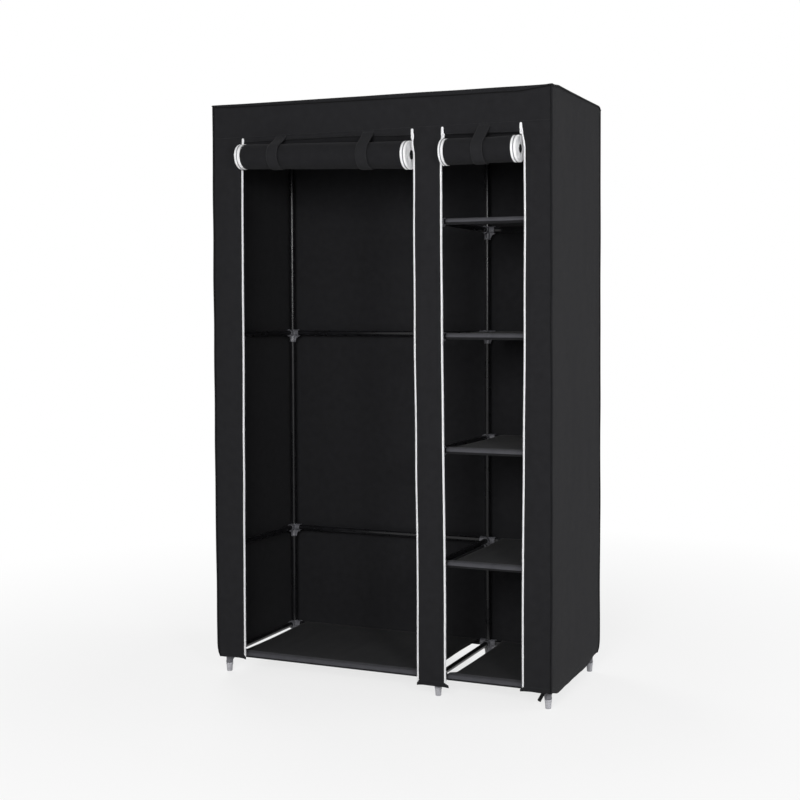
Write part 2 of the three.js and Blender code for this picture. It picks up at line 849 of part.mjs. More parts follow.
// The origin goes under the middle of everything, rolls and straps included.
const extent = new THREE.Box3().setFromObject(wardrobe);
wardrobe.position.y = -(extent.min.y + extent.max.y) / 2;

const part = new THREE.Group();
part.name = "portable_wardrobe";
part.add(wardrobe);

export default part;
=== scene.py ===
"""Dresses the portable fabric wardrobe: a non-woven cover with two rolled-up doors over a tube frame.

Everything is in metres, +Z up, the doors face -Y, and the origin is on the floor under the middle.
"""

from __future__ import annotations

import logging
import math
from dataclasses import dataclass, field
from enum import Enum
from typing import Callable, Sequence

import bmesh
import bpy
from bpy.types import Material, Mesh, NodeSocket, Object
from mathutils import Matrix, Vector, noise

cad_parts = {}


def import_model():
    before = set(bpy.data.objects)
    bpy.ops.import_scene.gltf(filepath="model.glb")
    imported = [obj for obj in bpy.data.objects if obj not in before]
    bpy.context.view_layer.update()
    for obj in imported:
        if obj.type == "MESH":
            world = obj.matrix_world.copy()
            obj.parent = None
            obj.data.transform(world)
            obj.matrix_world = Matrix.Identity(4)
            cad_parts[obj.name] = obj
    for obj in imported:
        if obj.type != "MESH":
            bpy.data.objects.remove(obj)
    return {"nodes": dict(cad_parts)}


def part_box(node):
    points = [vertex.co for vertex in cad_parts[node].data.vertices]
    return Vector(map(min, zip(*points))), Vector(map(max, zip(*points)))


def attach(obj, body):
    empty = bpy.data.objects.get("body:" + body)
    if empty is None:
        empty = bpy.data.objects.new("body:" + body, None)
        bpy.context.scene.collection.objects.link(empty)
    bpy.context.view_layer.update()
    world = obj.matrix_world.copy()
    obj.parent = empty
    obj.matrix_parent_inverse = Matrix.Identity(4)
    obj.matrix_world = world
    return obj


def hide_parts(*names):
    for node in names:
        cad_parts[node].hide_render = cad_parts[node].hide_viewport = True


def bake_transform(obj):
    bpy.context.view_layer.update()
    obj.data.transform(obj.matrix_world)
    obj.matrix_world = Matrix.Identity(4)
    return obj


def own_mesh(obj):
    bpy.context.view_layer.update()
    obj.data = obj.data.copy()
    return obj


LOG = logging.getLogger("wardrobe")
MM = 0.001
CORD_SIDES = 8
Pair = tuple[float, float]
Triple = tuple[float, float, float]
Placed = tuple[Vector, Pair]
Paths = Sequence[Sequence[Vector]]
UP = Vector((0, 0, 1))


class Slot(str, Enum):
    """The record's material slots."""

    COVER = "cover_cloth"
    DOOR = "door_cloth"
    STRAP = "strap_cloth"
    SHELF = "shelf_cloth"
    STEEL = "coated_steel"
    PLASTIC = "grey_plastic"
    TAPE = "zip_tape"
    ZIP = "zip_plastic"


class End(Enum):
    """The left or right end of an opening, a roll or a bay."""

    LEFT = -1
    RIGHT = 1

    @property
    def word(self) -> str:
        """The end's name in a piece's name."""
        return self.name.lower()


# Small helpers


def between(low: float, high: float, share: float) -> float:
    """The value at a share of the way from low to high."""
    return low + (high - low) * share


def smooth(value: float) -> float:
    """Eases a value, held between 0 and 1, in and out."""
    value = min(max(value, 0.0), 1.0)
    return value * value * (3 - 2 * value)


def bell(distance: float, width: float) -> float:
    """A bell curve of height 1."""
    return math.exp(-((distance / width) ** 2))


def steps(low: float, high: float, spacing: float) -> list[float]:
    """Evenly spaced values from low to high, both included.

    Args:
        low: First value.
        high: Last value.
        spacing: About how far apart the values are.

    Returns:
        The values.
    """
    count = max(1, round(abs(high - low) / spacing))
    return [between(low, high, i / count) for i in range(count + 1)]


def ripple(x: float, y: float, seed: float) -> float:
    """Smooth noise from about -1 to 1 at a place, the same on each run."""
    return noise.noise(Vector((x, y, seed))) * 1.6


def linear(code: str) -> tuple[float, float, float, float]:
    """The linear colour of a hex code.

    Args:
        code: Six hex digits.

    Returns:
        Red, green, blue and alpha.
    """
    shares = [int(code[i : i + 2], 16) / 255 for i in (0, 2, 4)]
    red, green, blue = (c / 12.92 if c <= 0.04045 else ((c + 0.055) / 1.055) ** 2.4 for c in shares)
    return red, green, blue, 1.0


# Materials


class Board:
    """The node tree of one material, with short ways to add and join nodes."""

    def __init__(self, name: str, roughness: float, **settings: float) -> None:
        """Starts a material with a Principled shader.

        Args:
            name: The material's name.
            roughness: The shader's roughness.
            settings: Other values for the shader's sockets, with _ for spaces.
        """
        self.material = bpy.data.materials.new(name)
        self.material.use_nodes = True
        self.tree = self.material.node_tree
        self.tree.nodes.clear()
        self.shader = self.node("ShaderNodeBsdfPrincipled")
        self.shader.inputs["Roughness"].default_value = roughness
        for socket, value in settings.items():
            self.shader.inputs[socket.replace("_", " ")].default_value = value
        self.output = self.node("ShaderNodeOutputMaterial")
        self.join(self.shader.outputs[0], self.output.inputs[0])

    def node(self, kind: str, **settings: object) -> bpy.types.Node:
        """Adds a node and sets its properties."""
        made = self.tree.nodes.new(kind)
        for key, value in settings.items():
            setattr(made, key, value)
        return made

    def join(self, source: NodeSocket, target: NodeSocket) -> None:
        """Links an output to an input."""
        self.tree.links.new(source, target)

    def put(self, target: NodeSocket, value: object) -> None:
        """Gives an input a link or a plain value."""
        if isinstance(value, NodeSocket):
            self.join(value, target)
        else:
            target.default_value = value

    def place(self, kind: str, scale: Sequence[float] = (1, 1, 1), turn: float = 0.0) -> NodeSocket:
        """A pattern's coordinates.

        Args:
            kind: "Object" or "UV".
            scale: How much the pattern is scaled along each axis.
            turn: The turn about Z, in radians.

        Returns:
            The vector socket.
        """
        source = self.node("ShaderNodeTexCoord")
        mapping = self.node("ShaderNodeMapping")
        mapping.inputs["Scale"].default_value = scale
        mapping.inputs["Rotation"].default_value = (0, 0, turn)
        self.join(source.outputs[kind], mapping.inputs["Vector"])
        return mapping.outputs[0]

    def math(self, operation: str, first: object, second: object = 0.0) -> NodeSocket:
        """The result of a Math node."""
        made = self.node("ShaderNodeMath", operation=operation)
        self.put(made.inputs[0], first)
        self.put(made.inputs[1], second)
        return made.outputs[0]

    def parts(self, vector: NodeSocket) -> Sequence[NodeSocket]:
        """The X, Y and Z of a vector."""
        made = self.node("ShaderNodeSeparateXYZ")
        self.join(vector, made.inputs[0])
        return made.outputs

    def grain(self, vector: NodeSocket, scale: float, detail: float = 2.0) -> NodeSocket:
        """Noise from 0 to 1."""
        made = self.node("ShaderNodeTexNoise")
        made.inputs["Scale"].default_value = scale
        made.inputs["Detail"].default_value = detail
        self.join(vector, made.inputs["Vector"])
        return made.outputs[0]

    def spread(
        self, value: NodeSocket, low: float, high: float, to_low: float = 0.0, to_high: float = 1.0
    ) -> NodeSocket:
        """Maps a range of a value to another range, held at its ends."""
        made = self.node("ShaderNodeMapRange")
        self.join(value, made.inputs["Value"])
        for name, number in (("From Min", low), ("From Max", high), ("To Min", to_low), ("To Max", to_high)):
            made.inputs[name].default_value = number
        return made.outputs[0]

    def blend(self, share: object, first: object, second: object) -> NodeSocket:
        """Mixes two colours."""
        made = self.node("ShaderNodeMix", data_type="RGBA")
        self.put(made.inputs[0], share)
        self.put(made.inputs[6], first)
        self.put(made.inputs[7], second)
        return made.outputs[2]

    def relief(self, height: NodeSocket, depth: float, under: NodeSocket | None = None) -> NodeSocket:
        """A bumped normal.

        Args:
            height: The pattern, from 0 to 1.
            depth: How deep it is, in metres.
            under: A bumped normal that this one is added to.

        Returns:
            The normal socket.
        """
        made = self.node("ShaderNodeBump")
        made.inputs["Strength"].default_value = 1.0
        made.inputs["Distance"].default_value = depth
        self.join(height, made.inputs["Height"])
        if under is not None:
            self.join(under, made.inputs["Normal"])
        return made.outputs[0]

    def paint(self, colour: NodeSocket, normal: NodeSocket) -> Material:
        """Gives the shader its colour and normal, and returns the material."""
        self.join(colour, self.shader.inputs["Base Color"])
        self.join(normal, self.shader.inputs["Normal"])
        return self.material


def link(tree: bpy.types.NodeTree, *pairs: tuple[NodeSocket, NodeSocket]) -> None:
    """Links outputs to inputs."""
    for source, target in pairs:
        tree.links.new(source, target)


def shade(code: str, factor: float) -> tuple[float, float, float, float]:
    """A hex colour made lighter or darker by a factor."""
    red, green, blue, alpha = linear(code)
    return red * factor, green * factor, blue * factor, alpha


@dataclass(frozen=True)
class PressedCloth:
    """Non-woven cloth: pressed fibres with a small diamond emboss, read from UVs in metres."""

    name: str
    colour: str
    emboss_pitch: float = 2.4 * MM
    emboss_depth: float = 0.16 * MM
    fibre_depth: float = 0.10 * MM
    roughness: float = 0.92
    sheen: float = 0.03

    def material(self) -> Material:
        """Builds the material."""
        board = Board(
            self.name, self.roughness, Sheen_Weight=self.sheen, Sheen_Roughness=0.45, Specular_IOR_Level=0.12
        )
        flat = board.place("UV")
        across, along, _ = board.parts(board.place("UV", (2 * math.pi / self.emboss_pitch,) * 3, math.pi / 4))
        dots = board.math("MULTIPLY", board.math("SINE", across), board.math("SINE", along))
        pits = board.spread(dots, 0.25, 0.85, 1.0, 0.0)
        fibres = board.grain(flat, 1400, 4)
        cloudy = board.grain(flat, 42, 3)
        worn = board.grain(flat, 5.5, 2)
        tone = board.math("ADD", board.math("MULTIPLY", fibres, 0.45), board.math("MULTIPLY", cloudy, 0.55))
        colour = board.blend(board.spread(tone, 0.35, 0.65), shade(self.colour, 0.84), shade(self.colour, 1.16))
        colour = board.blend(board.spread(worn, 0.3, 0.7, 0.0, 0.35), colour, shade(self.colour, 1.12))
        pressed = board.blend(board.spread(pits, 0.0, 1.0, 0.30, 0.0), colour, shade(self.colour, 0.72))
        normal = board.relief(fibres, self.fibre_depth, board.relief(pits, self.emboss_depth))
        return board.paint(pressed, normal)


@dataclass(frozen=True)
class WovenTape:
    """Woven tape: fine ribs along it and diagonal floats, read from UVs in metres."""

    name: str
    colour: str
    rib_pitch: float = 1.1 * MM
    roughness: float = 0.7

    def material(self) -> Material:
        """Builds the material."""
        board = Board(self.name, self.roughness, Sheen_Weight=0.15)
        across, along, _ = board.parts(board.place("UV", (2 * math.pi / self.rib_pitch,) * 3))
        ribs = board.math("SINE", board.math("ADD", across, board.math("MULTIPLY", board.math("SINE", along), 0.6)))
        floats = board.math("SINE", board.math("ADD", board.math("MULTIPLY", along, 1.7), across))
        weave = board.spread(board.math("ADD", ribs, floats), -1.6, 1.6)
        soil = board.grain(board.place("UV"), 60, 3)
        colour = board.blend(weave, shade(self.colour, 0.93), shade(self.colour, 1.0))
        colour = board.blend(board.spread(soil, 0.4, 0.75, 0.0, 0.12), colour, shade(self.colour, 0.8))
        return board.paint(colour, board.relief(weave, 0.12 * MM))


@dataclass(frozen=True)
class CoatedSteel:
    """Powder-coated tube: a fine orange peel, with slightly rubbed patches."""

    name: str
    colour: str
    roughness: float = 0.30

    def material(self) -> Material:
        """Builds the material."""
        board = Board(self.name, self.roughness, Coat_Weight=0.22, Coat_Roughness=0.15, Specular_IOR_Level=0.2)
        spot = board.place("Object")
        peel = board.grain(spot, 900, 2)
        rubbed = board.grain(spot, 26, 4)
        colour = board.blend(board.spread(rubbed, 0.45, 0.7), shade(self.colour, 0.92), shade(self.colour, 1.25))
        rough = board.spread(rubbed, 0.3, 0.8, self.roughness - 0.06, self.roughness + 0.08)
        board.join(rough, board.shader.inputs["Roughness"])
        return board.paint(colour, board.relief(peel, 0.03 * MM))


@dataclass(frozen=True)
class MouldedPlastic:
    """Moulded plastic: a fine spark-eroded grain, a little marbling and scuffs."""

    name: str
    colour: str
    roughness: float = 0.5
    grain: float = 0.03 * MM

    def material(self) -> Material:
        """Builds the material."""
        board = Board(self.name, self.roughness, Specular_IOR_Level=0.45)
        spot = board.place("Object")
        fine = board.grain(spot, 2600, 2)
        flow = board.grain(spot, 70, 3)
        scuffs = board.grain(board.place("Object", (1, 1, 0.2)), 420, 4)
        colour = board.blend(board.spread(flow, 0.35, 0.65), shade(self.colour, 0.93), shade(self.colour, 1.04))
        colour = board.blend(board.spread(scuffs, 0.62, 0.75, 0.0, 0.25), colour, shade(self.colour, 1.15))
        rough = board.spread(scuffs, 0.3, 0.8, self.roughness - 0.05, self.roughness + 0.1)
        board.join(rough, board.shader.inputs["Roughness"])
        return board.paint(colour, board.relief(fine, self.grain))


@dataclass(frozen=True)
class Thread:
    """Twisted sewing thread."""

    name: str
    colour: str

    def material(self) -> Material:
        """Builds the material."""
        board = Board(self.name, 0.75, Sheen_Weight=0.2)
        across, along, up = board.parts(board.place("Object", (5200, 5200, 5200)))
        twist = board.spread(board.math("SINE", board.math("ADD", board.math("ADD", across, along), up)), -1, 1)
        colour = board.blend(twist, shade(self.colour, 0.7), shade(self.colour, 1.2))
        return board.paint(colour, board.relief(twist, 0.06 * MM))


def made_once(finish: PressedCloth | WovenTape | CoatedSteel | MouldedPlastic | Thread) -> Material:
    """A field that holds a finish's material."""
    return field(default_factory=finish.material)


@dataclass
class Finishes:
    """All the materials of the wardrobe, each made once."""

    cover: Material = made_once(PressedCloth("cover_cloth", "202022"))
    # Dark cloth: the tie's own cloth, and on the welt and corner cords a painted shadow line.
    binding: Material = made_once(PressedCloth("binding_cloth", "111112"))
    door: Material = made_once(PressedCloth("door_cloth", "1d1d1f"))
    piping: Material = made_once(PressedCloth("piping_cloth", "1d1d1f"))
    strap: Material = made_once(PressedCloth("strap_cloth", "232325"))
    shelf: Material = made_once(PressedCloth("shelf_cloth", "1f1f21"))
    # The sleeve cloth is the shelf's black cloth made lighter: a painted highlight along the top of the front sleeves.
    sleeve: Material = made_once(PressedCloth("sleeve_cloth", "4a4a4e"))
    steel: Material = made_once(CoatedSteel("coated_steel", "161618"))
    plastic: Material = made_once(MouldedPlastic("grey_plastic", "b2b2b7"))
    # The connectors' plastic is the feet's light grey made darker: painted shade for their place inside the frame.
    socket: Material = made_once(MouldedPlastic("dark_grey_plastic", "626267", 0.4))
    tape: Material = made_once(WovenTape("zip_tape", "fafafb"))
    # The groove tape is the white tape made grey: painted shade in the winding's groove.
    tape_groove: Material = made_once(WovenTape("zip_tape_groove", "8c8c92"))
    zip: Material = made_once(MouldedPlastic("zip_plastic", "f2f2f4", 0.36, 0.01 * MM))
    thread: Material = made_once(Thread("dark_thread", "1b1b1d"))


# Making meshes


@dataclass
class MeshParts:
    """The points and faces of a piece while it is being made."""

    points: list[Vector] = field(default_factory=list)
    faces: list[tuple[int, ...]] = field(default_factory=list)

    def rings(self, rings: Paths, around: bool = False) -> None:
        """Skins closed rings of one length, with a cap at each end or joined end to end.

        Args:
            rings: The rings, in order.
            around: Whether the last ring joins the first.
        """
        start, size = len(self.points), len(rings[0])
        for ring in rings:
            self.points.extend(ring)
        count = len(rings)
        for i in range(count if around else count - 1):
            first, second = start + i * size, start + (i + 1) % count * size
            for j in range(size):
                k = (j + 1) % size
                self.faces.append((first + j, first + k, second + k, second + j))
        if not around:
            self.faces.append(tuple(range(start + size - 1, start - 1, -1)))
            self.faces.append(tuple(range(start + (count - 1) * size, start + count * size)))

    def turned(self, profile: Sequence[Pair], at: Vector, axis: Vector, sides: int, around: bool = False) -> None:
        """Turns a profile about an axis.

        Args:
            profile: Radius and height along the axis, in order.
            at: Where height 0 is.
            axis: The direction of the axis.
            sides: How many facets go round.
            around: Whether the profile is a closed loop.
        """
        basis = axis.to_track_quat("Z", "Y").to_matrix()
        turns = [2 * math.pi * i / sides for i in range(sides)]
        spun = [[Vector((r * math.cos(a), r * math.sin(a), h)) for a in turns] for r, h in profile]
        self.rings([[at + basis @ point for point in ring] for ring in spun], around)

    def plate(self, outline: Sequence[Vector], thickness: Vector) -> None:
        """Pulls a flat outline out into a plate.

        Args:
            outline: The outline's points.
            thickness: The way and distance that it is pulled.
        """
        self.rings([list(outline), [p + thickness for p in outline]])

    def mesh(self, name: str) -> Mesh:
        """The mesh, with doubles merged and faces outwards."""
        made = bpy.data.meshes.new(name)
        made.from_pydata(self.points, [], self.faces)
        return mended(made)


def mended(mesh: Mesh, merge: bool = True, outwards: bool = True) -> Mesh:
    """Mends a mesh.

    Args:
        mesh: The mesh.
        merge: Whether doubles are merged and loose points dropped.
        outwards: Whether its faces are turned outwards.

    Returns:
        The same mesh.
    """
    shape = bmesh.new()
    shape.from_mesh(mesh)
    if merge:
        bmesh.ops.remove_doubles(shape, verts=shape.verts, dist=1e-6)
        bmesh.ops.delete(shape, geom=[v for v in shape.verts if not v.link_faces], context="VERTS")
    if outwards:
        bmesh.ops.recalc_face_normals(shape, faces=shape.faces)
    shape.to_mesh(mesh)
    shape.free()
    return mesh


def in_scene(name: str, data: bpy.types.ID) -> Object:
    """Puts a new object in the scene."""
    made = bpy.data.objects.new(name, data)
    bpy.context.scene.collection.objects.link(made)
    return made


def add_object(name: str, mesh: Mesh, *materials: Material) -> Object:
    """Puts a smooth-shaded mesh in the scene."""
    made = in_scene(name, mesh)
    for material in materials:
        mesh.materials.append(material)
    mesh.shade_smooth()
    return made


def settled(obj: Object) -> Object:
    """Turns an object's modifiers into its plain mesh."""
    bpy.context.view_layer.update()
    shape = obj.evaluated_get(bpy.context.evaluated_depsgraph_get())
    mesh = bpy.data.meshes.new_from_object(shape)
    obj.modifiers.clear()
    old, obj.data = obj.data, mesh
    bpy.data.meshes.remove(old)
    return obj


def crease(obj: Object, degrees: float = 35) -> Object:
    """Keeps edges crisp where faces meet at more than this angle."""
    obj.data.set_sharp_from_angle(angle=math.radians(degrees))
    return obj


def rounded(obj: Object, width: float) -> Object:
    """Rounds an object's sharp edges."""
    bevel = obj.modifiers.new("rounding", "BEVEL")
    bevel.width = width
    bevel.segments = 2
    bevel.limit_method = "ANGLE"
    bevel.angle_limit = math.radians(30)
    bevel.harden_normals = False
    return crease(settled(obj), 50)


def cloth(
    name: str,
    columns: Sequence[float],
    rows: Sequence[float],
    place: Callable[[float, float], Placed],
    thickness: float,
    *materials: Material,
    kept: Callable[[float, float], bool] | None = None,
    finish: Callable[[float, float], int] | None = None,
) -> Object:
    """Makes a sheet of cloth from a grid, its thickness to both sides of it.

    Args:
        name: The object's name.
        columns: The grid's values across.
        rows: The grid's values along.
        place: Gives the point and the UV in metres for a value across and along.
        thickness: The cloth's thickness.
        materials: The materials.
        kept: Whether the cell around a middle place is cloth.
        finish: The material's number for the cell around a middle place.

    Returns:
        The finished object.
    """
    wide = len(columns)
    points, flats = zip(*(place(column, row) for row in rows for column in columns))
    faces, numbers = [], []
    for j in range(len(rows) - 1):
        for i in range(wide - 1):
            middle = ((columns[i] + columns[i + 1]) / 2, (rows[j] + rows[j + 1]) / 2)
            if kept is None or kept(*middle):
                corner = j * wide + i
                faces.append((corner, corner + 1, corner + wide + 1, corner + wide))
                numbers.append(finish(*middle) if finish else 0)
    mesh = bpy.data.meshes.new(name)
    mesh.from_pydata(points, [], faces)
    mesh.polygons.foreach_set("material_index", numbers)
    layer = mesh.uv_layers.new(name="UVMap")
    loops = [0] * len(mesh.loops)
    mesh.loops.foreach_get("vertex_index", loops)
    layer.data.foreach_set("uv", [part for index in loops for part in flats[index]])
    obj = add_object(name, mended(mesh, outwards=False), *materials)
    solid = obj.modifiers.new("thickness", "SOLIDIFY")
    solid.thickness = thickness
    solid.offset = 0.0
    solid.use_even_offset = False
    return settled(obj)


def lengths(path: Sequence[Sequence[float]]) -> list[float]:
    """The distance of each point of a path from its start, on its first two axes."""
    made = [0.0]
    for a, b in zip(path, path[1:]):
        made.append(made[-1] + math.hypot(b[0] - a[0], b[1] - a[1]))
    return made


def sweep(path: Sequence[Vector], radius: float, closed: bool = False) -> list[list[Vector]]:
    """Rings of a round cord carried along a path without twist.

    Args:
        path: The points of the path.
        radius: The cord's radius.
        closed: Whether the path is a loop.

    Returns:
        One ring at each point of the path.
    """
    turns = [2 * math.pi * i / CORD_SIDES for i in range(CORD_SIDES)]
    profile = [(radius * math.cos(a), radius * math.sin(a)) for a in turns]
    count = len(path)
    side: Vector | None = None
    made = []
    for i, point in enumerate(path):
        before = path[(i - 1) % count] if closed or i > 0 else point
        after = path[(i + 1) % count] if closed or i < count - 1 else point
        along = (after - before).normalized()
        if side is None:
            side = along.orthogonal().normalized()
        side = (side - along * side.dot(along)).normalized()
        up = along.cross(side)
        made.append([point + side * a + up * b for a, b in profile])
    return made


# Geometry Nodes


class PointRepeat:
    """A Geometry Nodes tree that sets a small piece at each point of its input."""

    label = "pieces_at_points"
    inputs = (("Piece", "Object"), ("Finish", "Material"))

    def __init__(self) -> None:
        """Builds the tree and keeps the identifiers of its inputs."""
        self.tree = bpy.data.node_groups.new(self.label, "GeometryNodeTree")
        face = self.tree.interface
        face.new_socket("Places", in_out="INPUT", socket_type="NodeSocketGeometry")
        self.sockets = {
            name: face.new_socket(name, in_out="INPUT", socket_type=f"NodeSocket{kind}").identifier
            for name, kind in self.inputs
        }
        face.new_socket("Pieces", in_out="OUTPUT", socket_type="NodeSocketGeometry")
        given, made = self.node("NodeGroupInput"), self.node("NodeGroupOutput")
        piece, copies = self.node("GeometryNodeObjectInfo"), self.node("GeometryNodeInstanceOnPoints")
        real, painted = self.node("GeometryNodeRealizeInstances"), self.node("GeometryNodeSetMaterial")
        link(
            self.tree,
            (given.outputs["Piece"], piece.inputs["Object"]),
            (piece.outputs["Geometry"], copies.inputs["Instance"]),
            (copies.outputs[0], real.inputs[0]),
            (real.outputs[0], painted.inputs["Geometry"]),
            (given.outputs["Finish"], painted.inputs["Material"]),
            (painted.outputs[0], made.inputs[0]),
        )
        self.spread(given.outputs, copies.inputs)

    def node(self, kind: str) -> bpy.types.Node:
        """Adds a node."""
        return self.tree.nodes.new(kind)

    def spread(self, given: bpy.types.NodeOutputs, copies: bpy.types.NodeInputs) -> None:
        """Sets the copies on the points as they are given."""
        link(self.tree, (given["Places"], copies["Points"]))

    def fill(
        self, name: str, points: Sequence[Vector], edges: Sequence[tuple[int, int]], values: dict[str, object]
    ) -> Object:
        """Runs the tree on some points and makes the result one plain mesh.

        Args:
            name: The new object's name.
            points: Where the copies stand, or the path that they follow.
            edges: The edges between the points of a path.
            values: The tree's inputs by name.

        Returns:
            The new object.
        """
        mesh = bpy.data.meshes.new(name)
        mesh.from_pydata(points, edges, [])
        obj = in_scene(name, mesh)
        nodes = obj.modifiers.new("repeat", "NODES")
        nodes.node_group = self.tree
        for key, value in values.items():
            nodes[self.sockets[key]] = value
        settled(obj)
        obj.data.shade_smooth()
        return obj

    def run(self, name: str, places: Sequence[Vector], piece: Object, finish: Material) -> Object:
        """Sets the piece at each place."""
        return self.fill(name, places, [], {"Piece": piece, "Finish": finish})


class PathRepeat(PointRepeat):
    """A Geometry Nodes tree that sets a small piece again and again along a path."""

    label = "pieces_along_a_path"
    inputs = (*PointRepeat.inputs, ("Spacing", "Float"), ("Across", "Vector"))

    def spread(self, given: bpy.types.NodeOutputs, copies: bpy.types.NodeInputs) -> None:
        """Spaces the copies along the path, each with its Z on the path and its X turned across."""
        curve, spaced = self.node("GeometryNodeMeshToCurve"), self.node("GeometryNodeResampleCurve")
        spaced.mode = "LENGTH"
        tangent = self.node("GeometryNodeInputTangent")
        lengthways, sideways = (self.node("FunctionNodeAlignRotationToVector") for _ in range(2))
        lengthways.axis = "Z"
        sideways.axis, sideways.pivot_axis = "X", "Z"
        link(
            self.tree,
            (given["Places"], curve.inputs["Mesh"]),
            (curve.outputs[0], spaced.inputs["Curve"]),
            (given["Spacing"], spaced.inputs["Length"]),
            (spaced.outputs[0], copies["Points"]),
            (tangent.outputs[0], lengthways.inputs["Vector"]),
            (lengthways.outputs[0], sideways.inputs["Rotation"]),
            (given["Across"], sideways.inputs["Vector"]),
            (sideways.outputs[0], copies["Rotation"]),
        )

    def along(
        self,
        name: str,
        paths: Paths,
        piece: Object,
        spacing: float,
        finish: Material,
        across: Sequence[float] = (1, 0, 0),
    ) -> Object:
        """Sets the piece along some paths.

        Args:
            name: The new object's name.
            paths: The points of each path.
            piece: What is repeated. Its Z follows the path.
            spacing: The distance from one to the next.
            finish: The material.
            across: Where the piece's X points.

        Returns:
            The new object.
        """
        points: list[Vector] = []
        edges: list[tuple[int, int]] = []
        for path in paths:
            first = len(points)
            points.extend(path)
            edges.extend((first + i, first + i + 1) for i in range(len(path) - 1))
        values = {"Piece": piece, "Finish": finish, "Spacing": spacing, "Across": tuple(across)}
        return self.fill(name, points, edges, values)


@dataclass
class Workshop:
    """What all the makers share: the materials, the repeating trees and the small pieces that they repeat."""

    finishes: Finishes
    paths: PathRepeat = field(default_factory=PathRepeat)
    at_points: PointRepeat = field(default_factory=PointRepeat)
    stitch: Object = field(init=False)
    tooth: Object = field(init=False)
    spare: list[Object] = field(default_factory=list)

    def __post_init__(self) -> None:
        """Makes the stitch and the zip's tooth."""
        self.stitch = self._stitch()
        self.tooth = self._tooth()

    def pattern(self, name: str, parts: MeshParts) -> Object:
        """A piece that is only repeated, and removed at the end."""
        made = add_object(name, parts.mesh(name))
        self.spare.append(made)
        return made

    def _stitch(self) -> Object:
        """A slack loop of thread, 2.4 mm long along Z."""
        parts = MeshParts()
        length, radius = 1.2 * MM, 0.22 * MM
        profile = [(0.4, -1.0), (1.0, -0.8), (1.15, 0.0), (1.0, 0.8), (0.4, 1.0)]
        parts.turned([(radius * r, length * h) for r, h in profile], Vector(), UP, 6)
        return self.pattern("stitch_pattern", parts)

    def _tooth(self) -> Object:
        """One turn of a coil zip: a block with a round head, its root towards -X."""
        parts = MeshParts()
        outline = [(-1.5, -0.9), (0.7, -0.9), (1.3, -0.55), (1.5, 0.0), (1.3, 0.55), (0.7, 0.9), (-1.5, 0.9)]
        levels = ((-0.75, 0.78), (-0.45, 1.0), (0.45, 1.0), (0.75, 0.78))
        parts.rings([[Vector((x * grow, y * 1.25 * grow, z)) * MM for x, y in outline] for z, grow in levels])
        return self.pattern("tooth_pattern", parts)

    def stitches(self, name: str, paths: Paths, spacing: float = 4.2 * MM) -> Object:
        """A row of stitches along each path."""
        return self.paths.along(name, paths, self.stitch, spacing, self.finishes.thread)

    def clear(self) -> None:
        """Removes the pieces that were only repeated."""
        for piece in self.spare:
            bpy.data.objects.remove(piece)


def set_up(obj: Object, slot: Slot, stands_for: Sequence[str] = (), body: str = "root") -> None:
    """Makes a finished piece ride on a body and hides the pieces that it stands for."""
    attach(obj, body)
    if stands_for:
        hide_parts(*stands_for)
    LOG.info("%s: %d faces", obj.name, len(obj.data.polygons))


# The cover


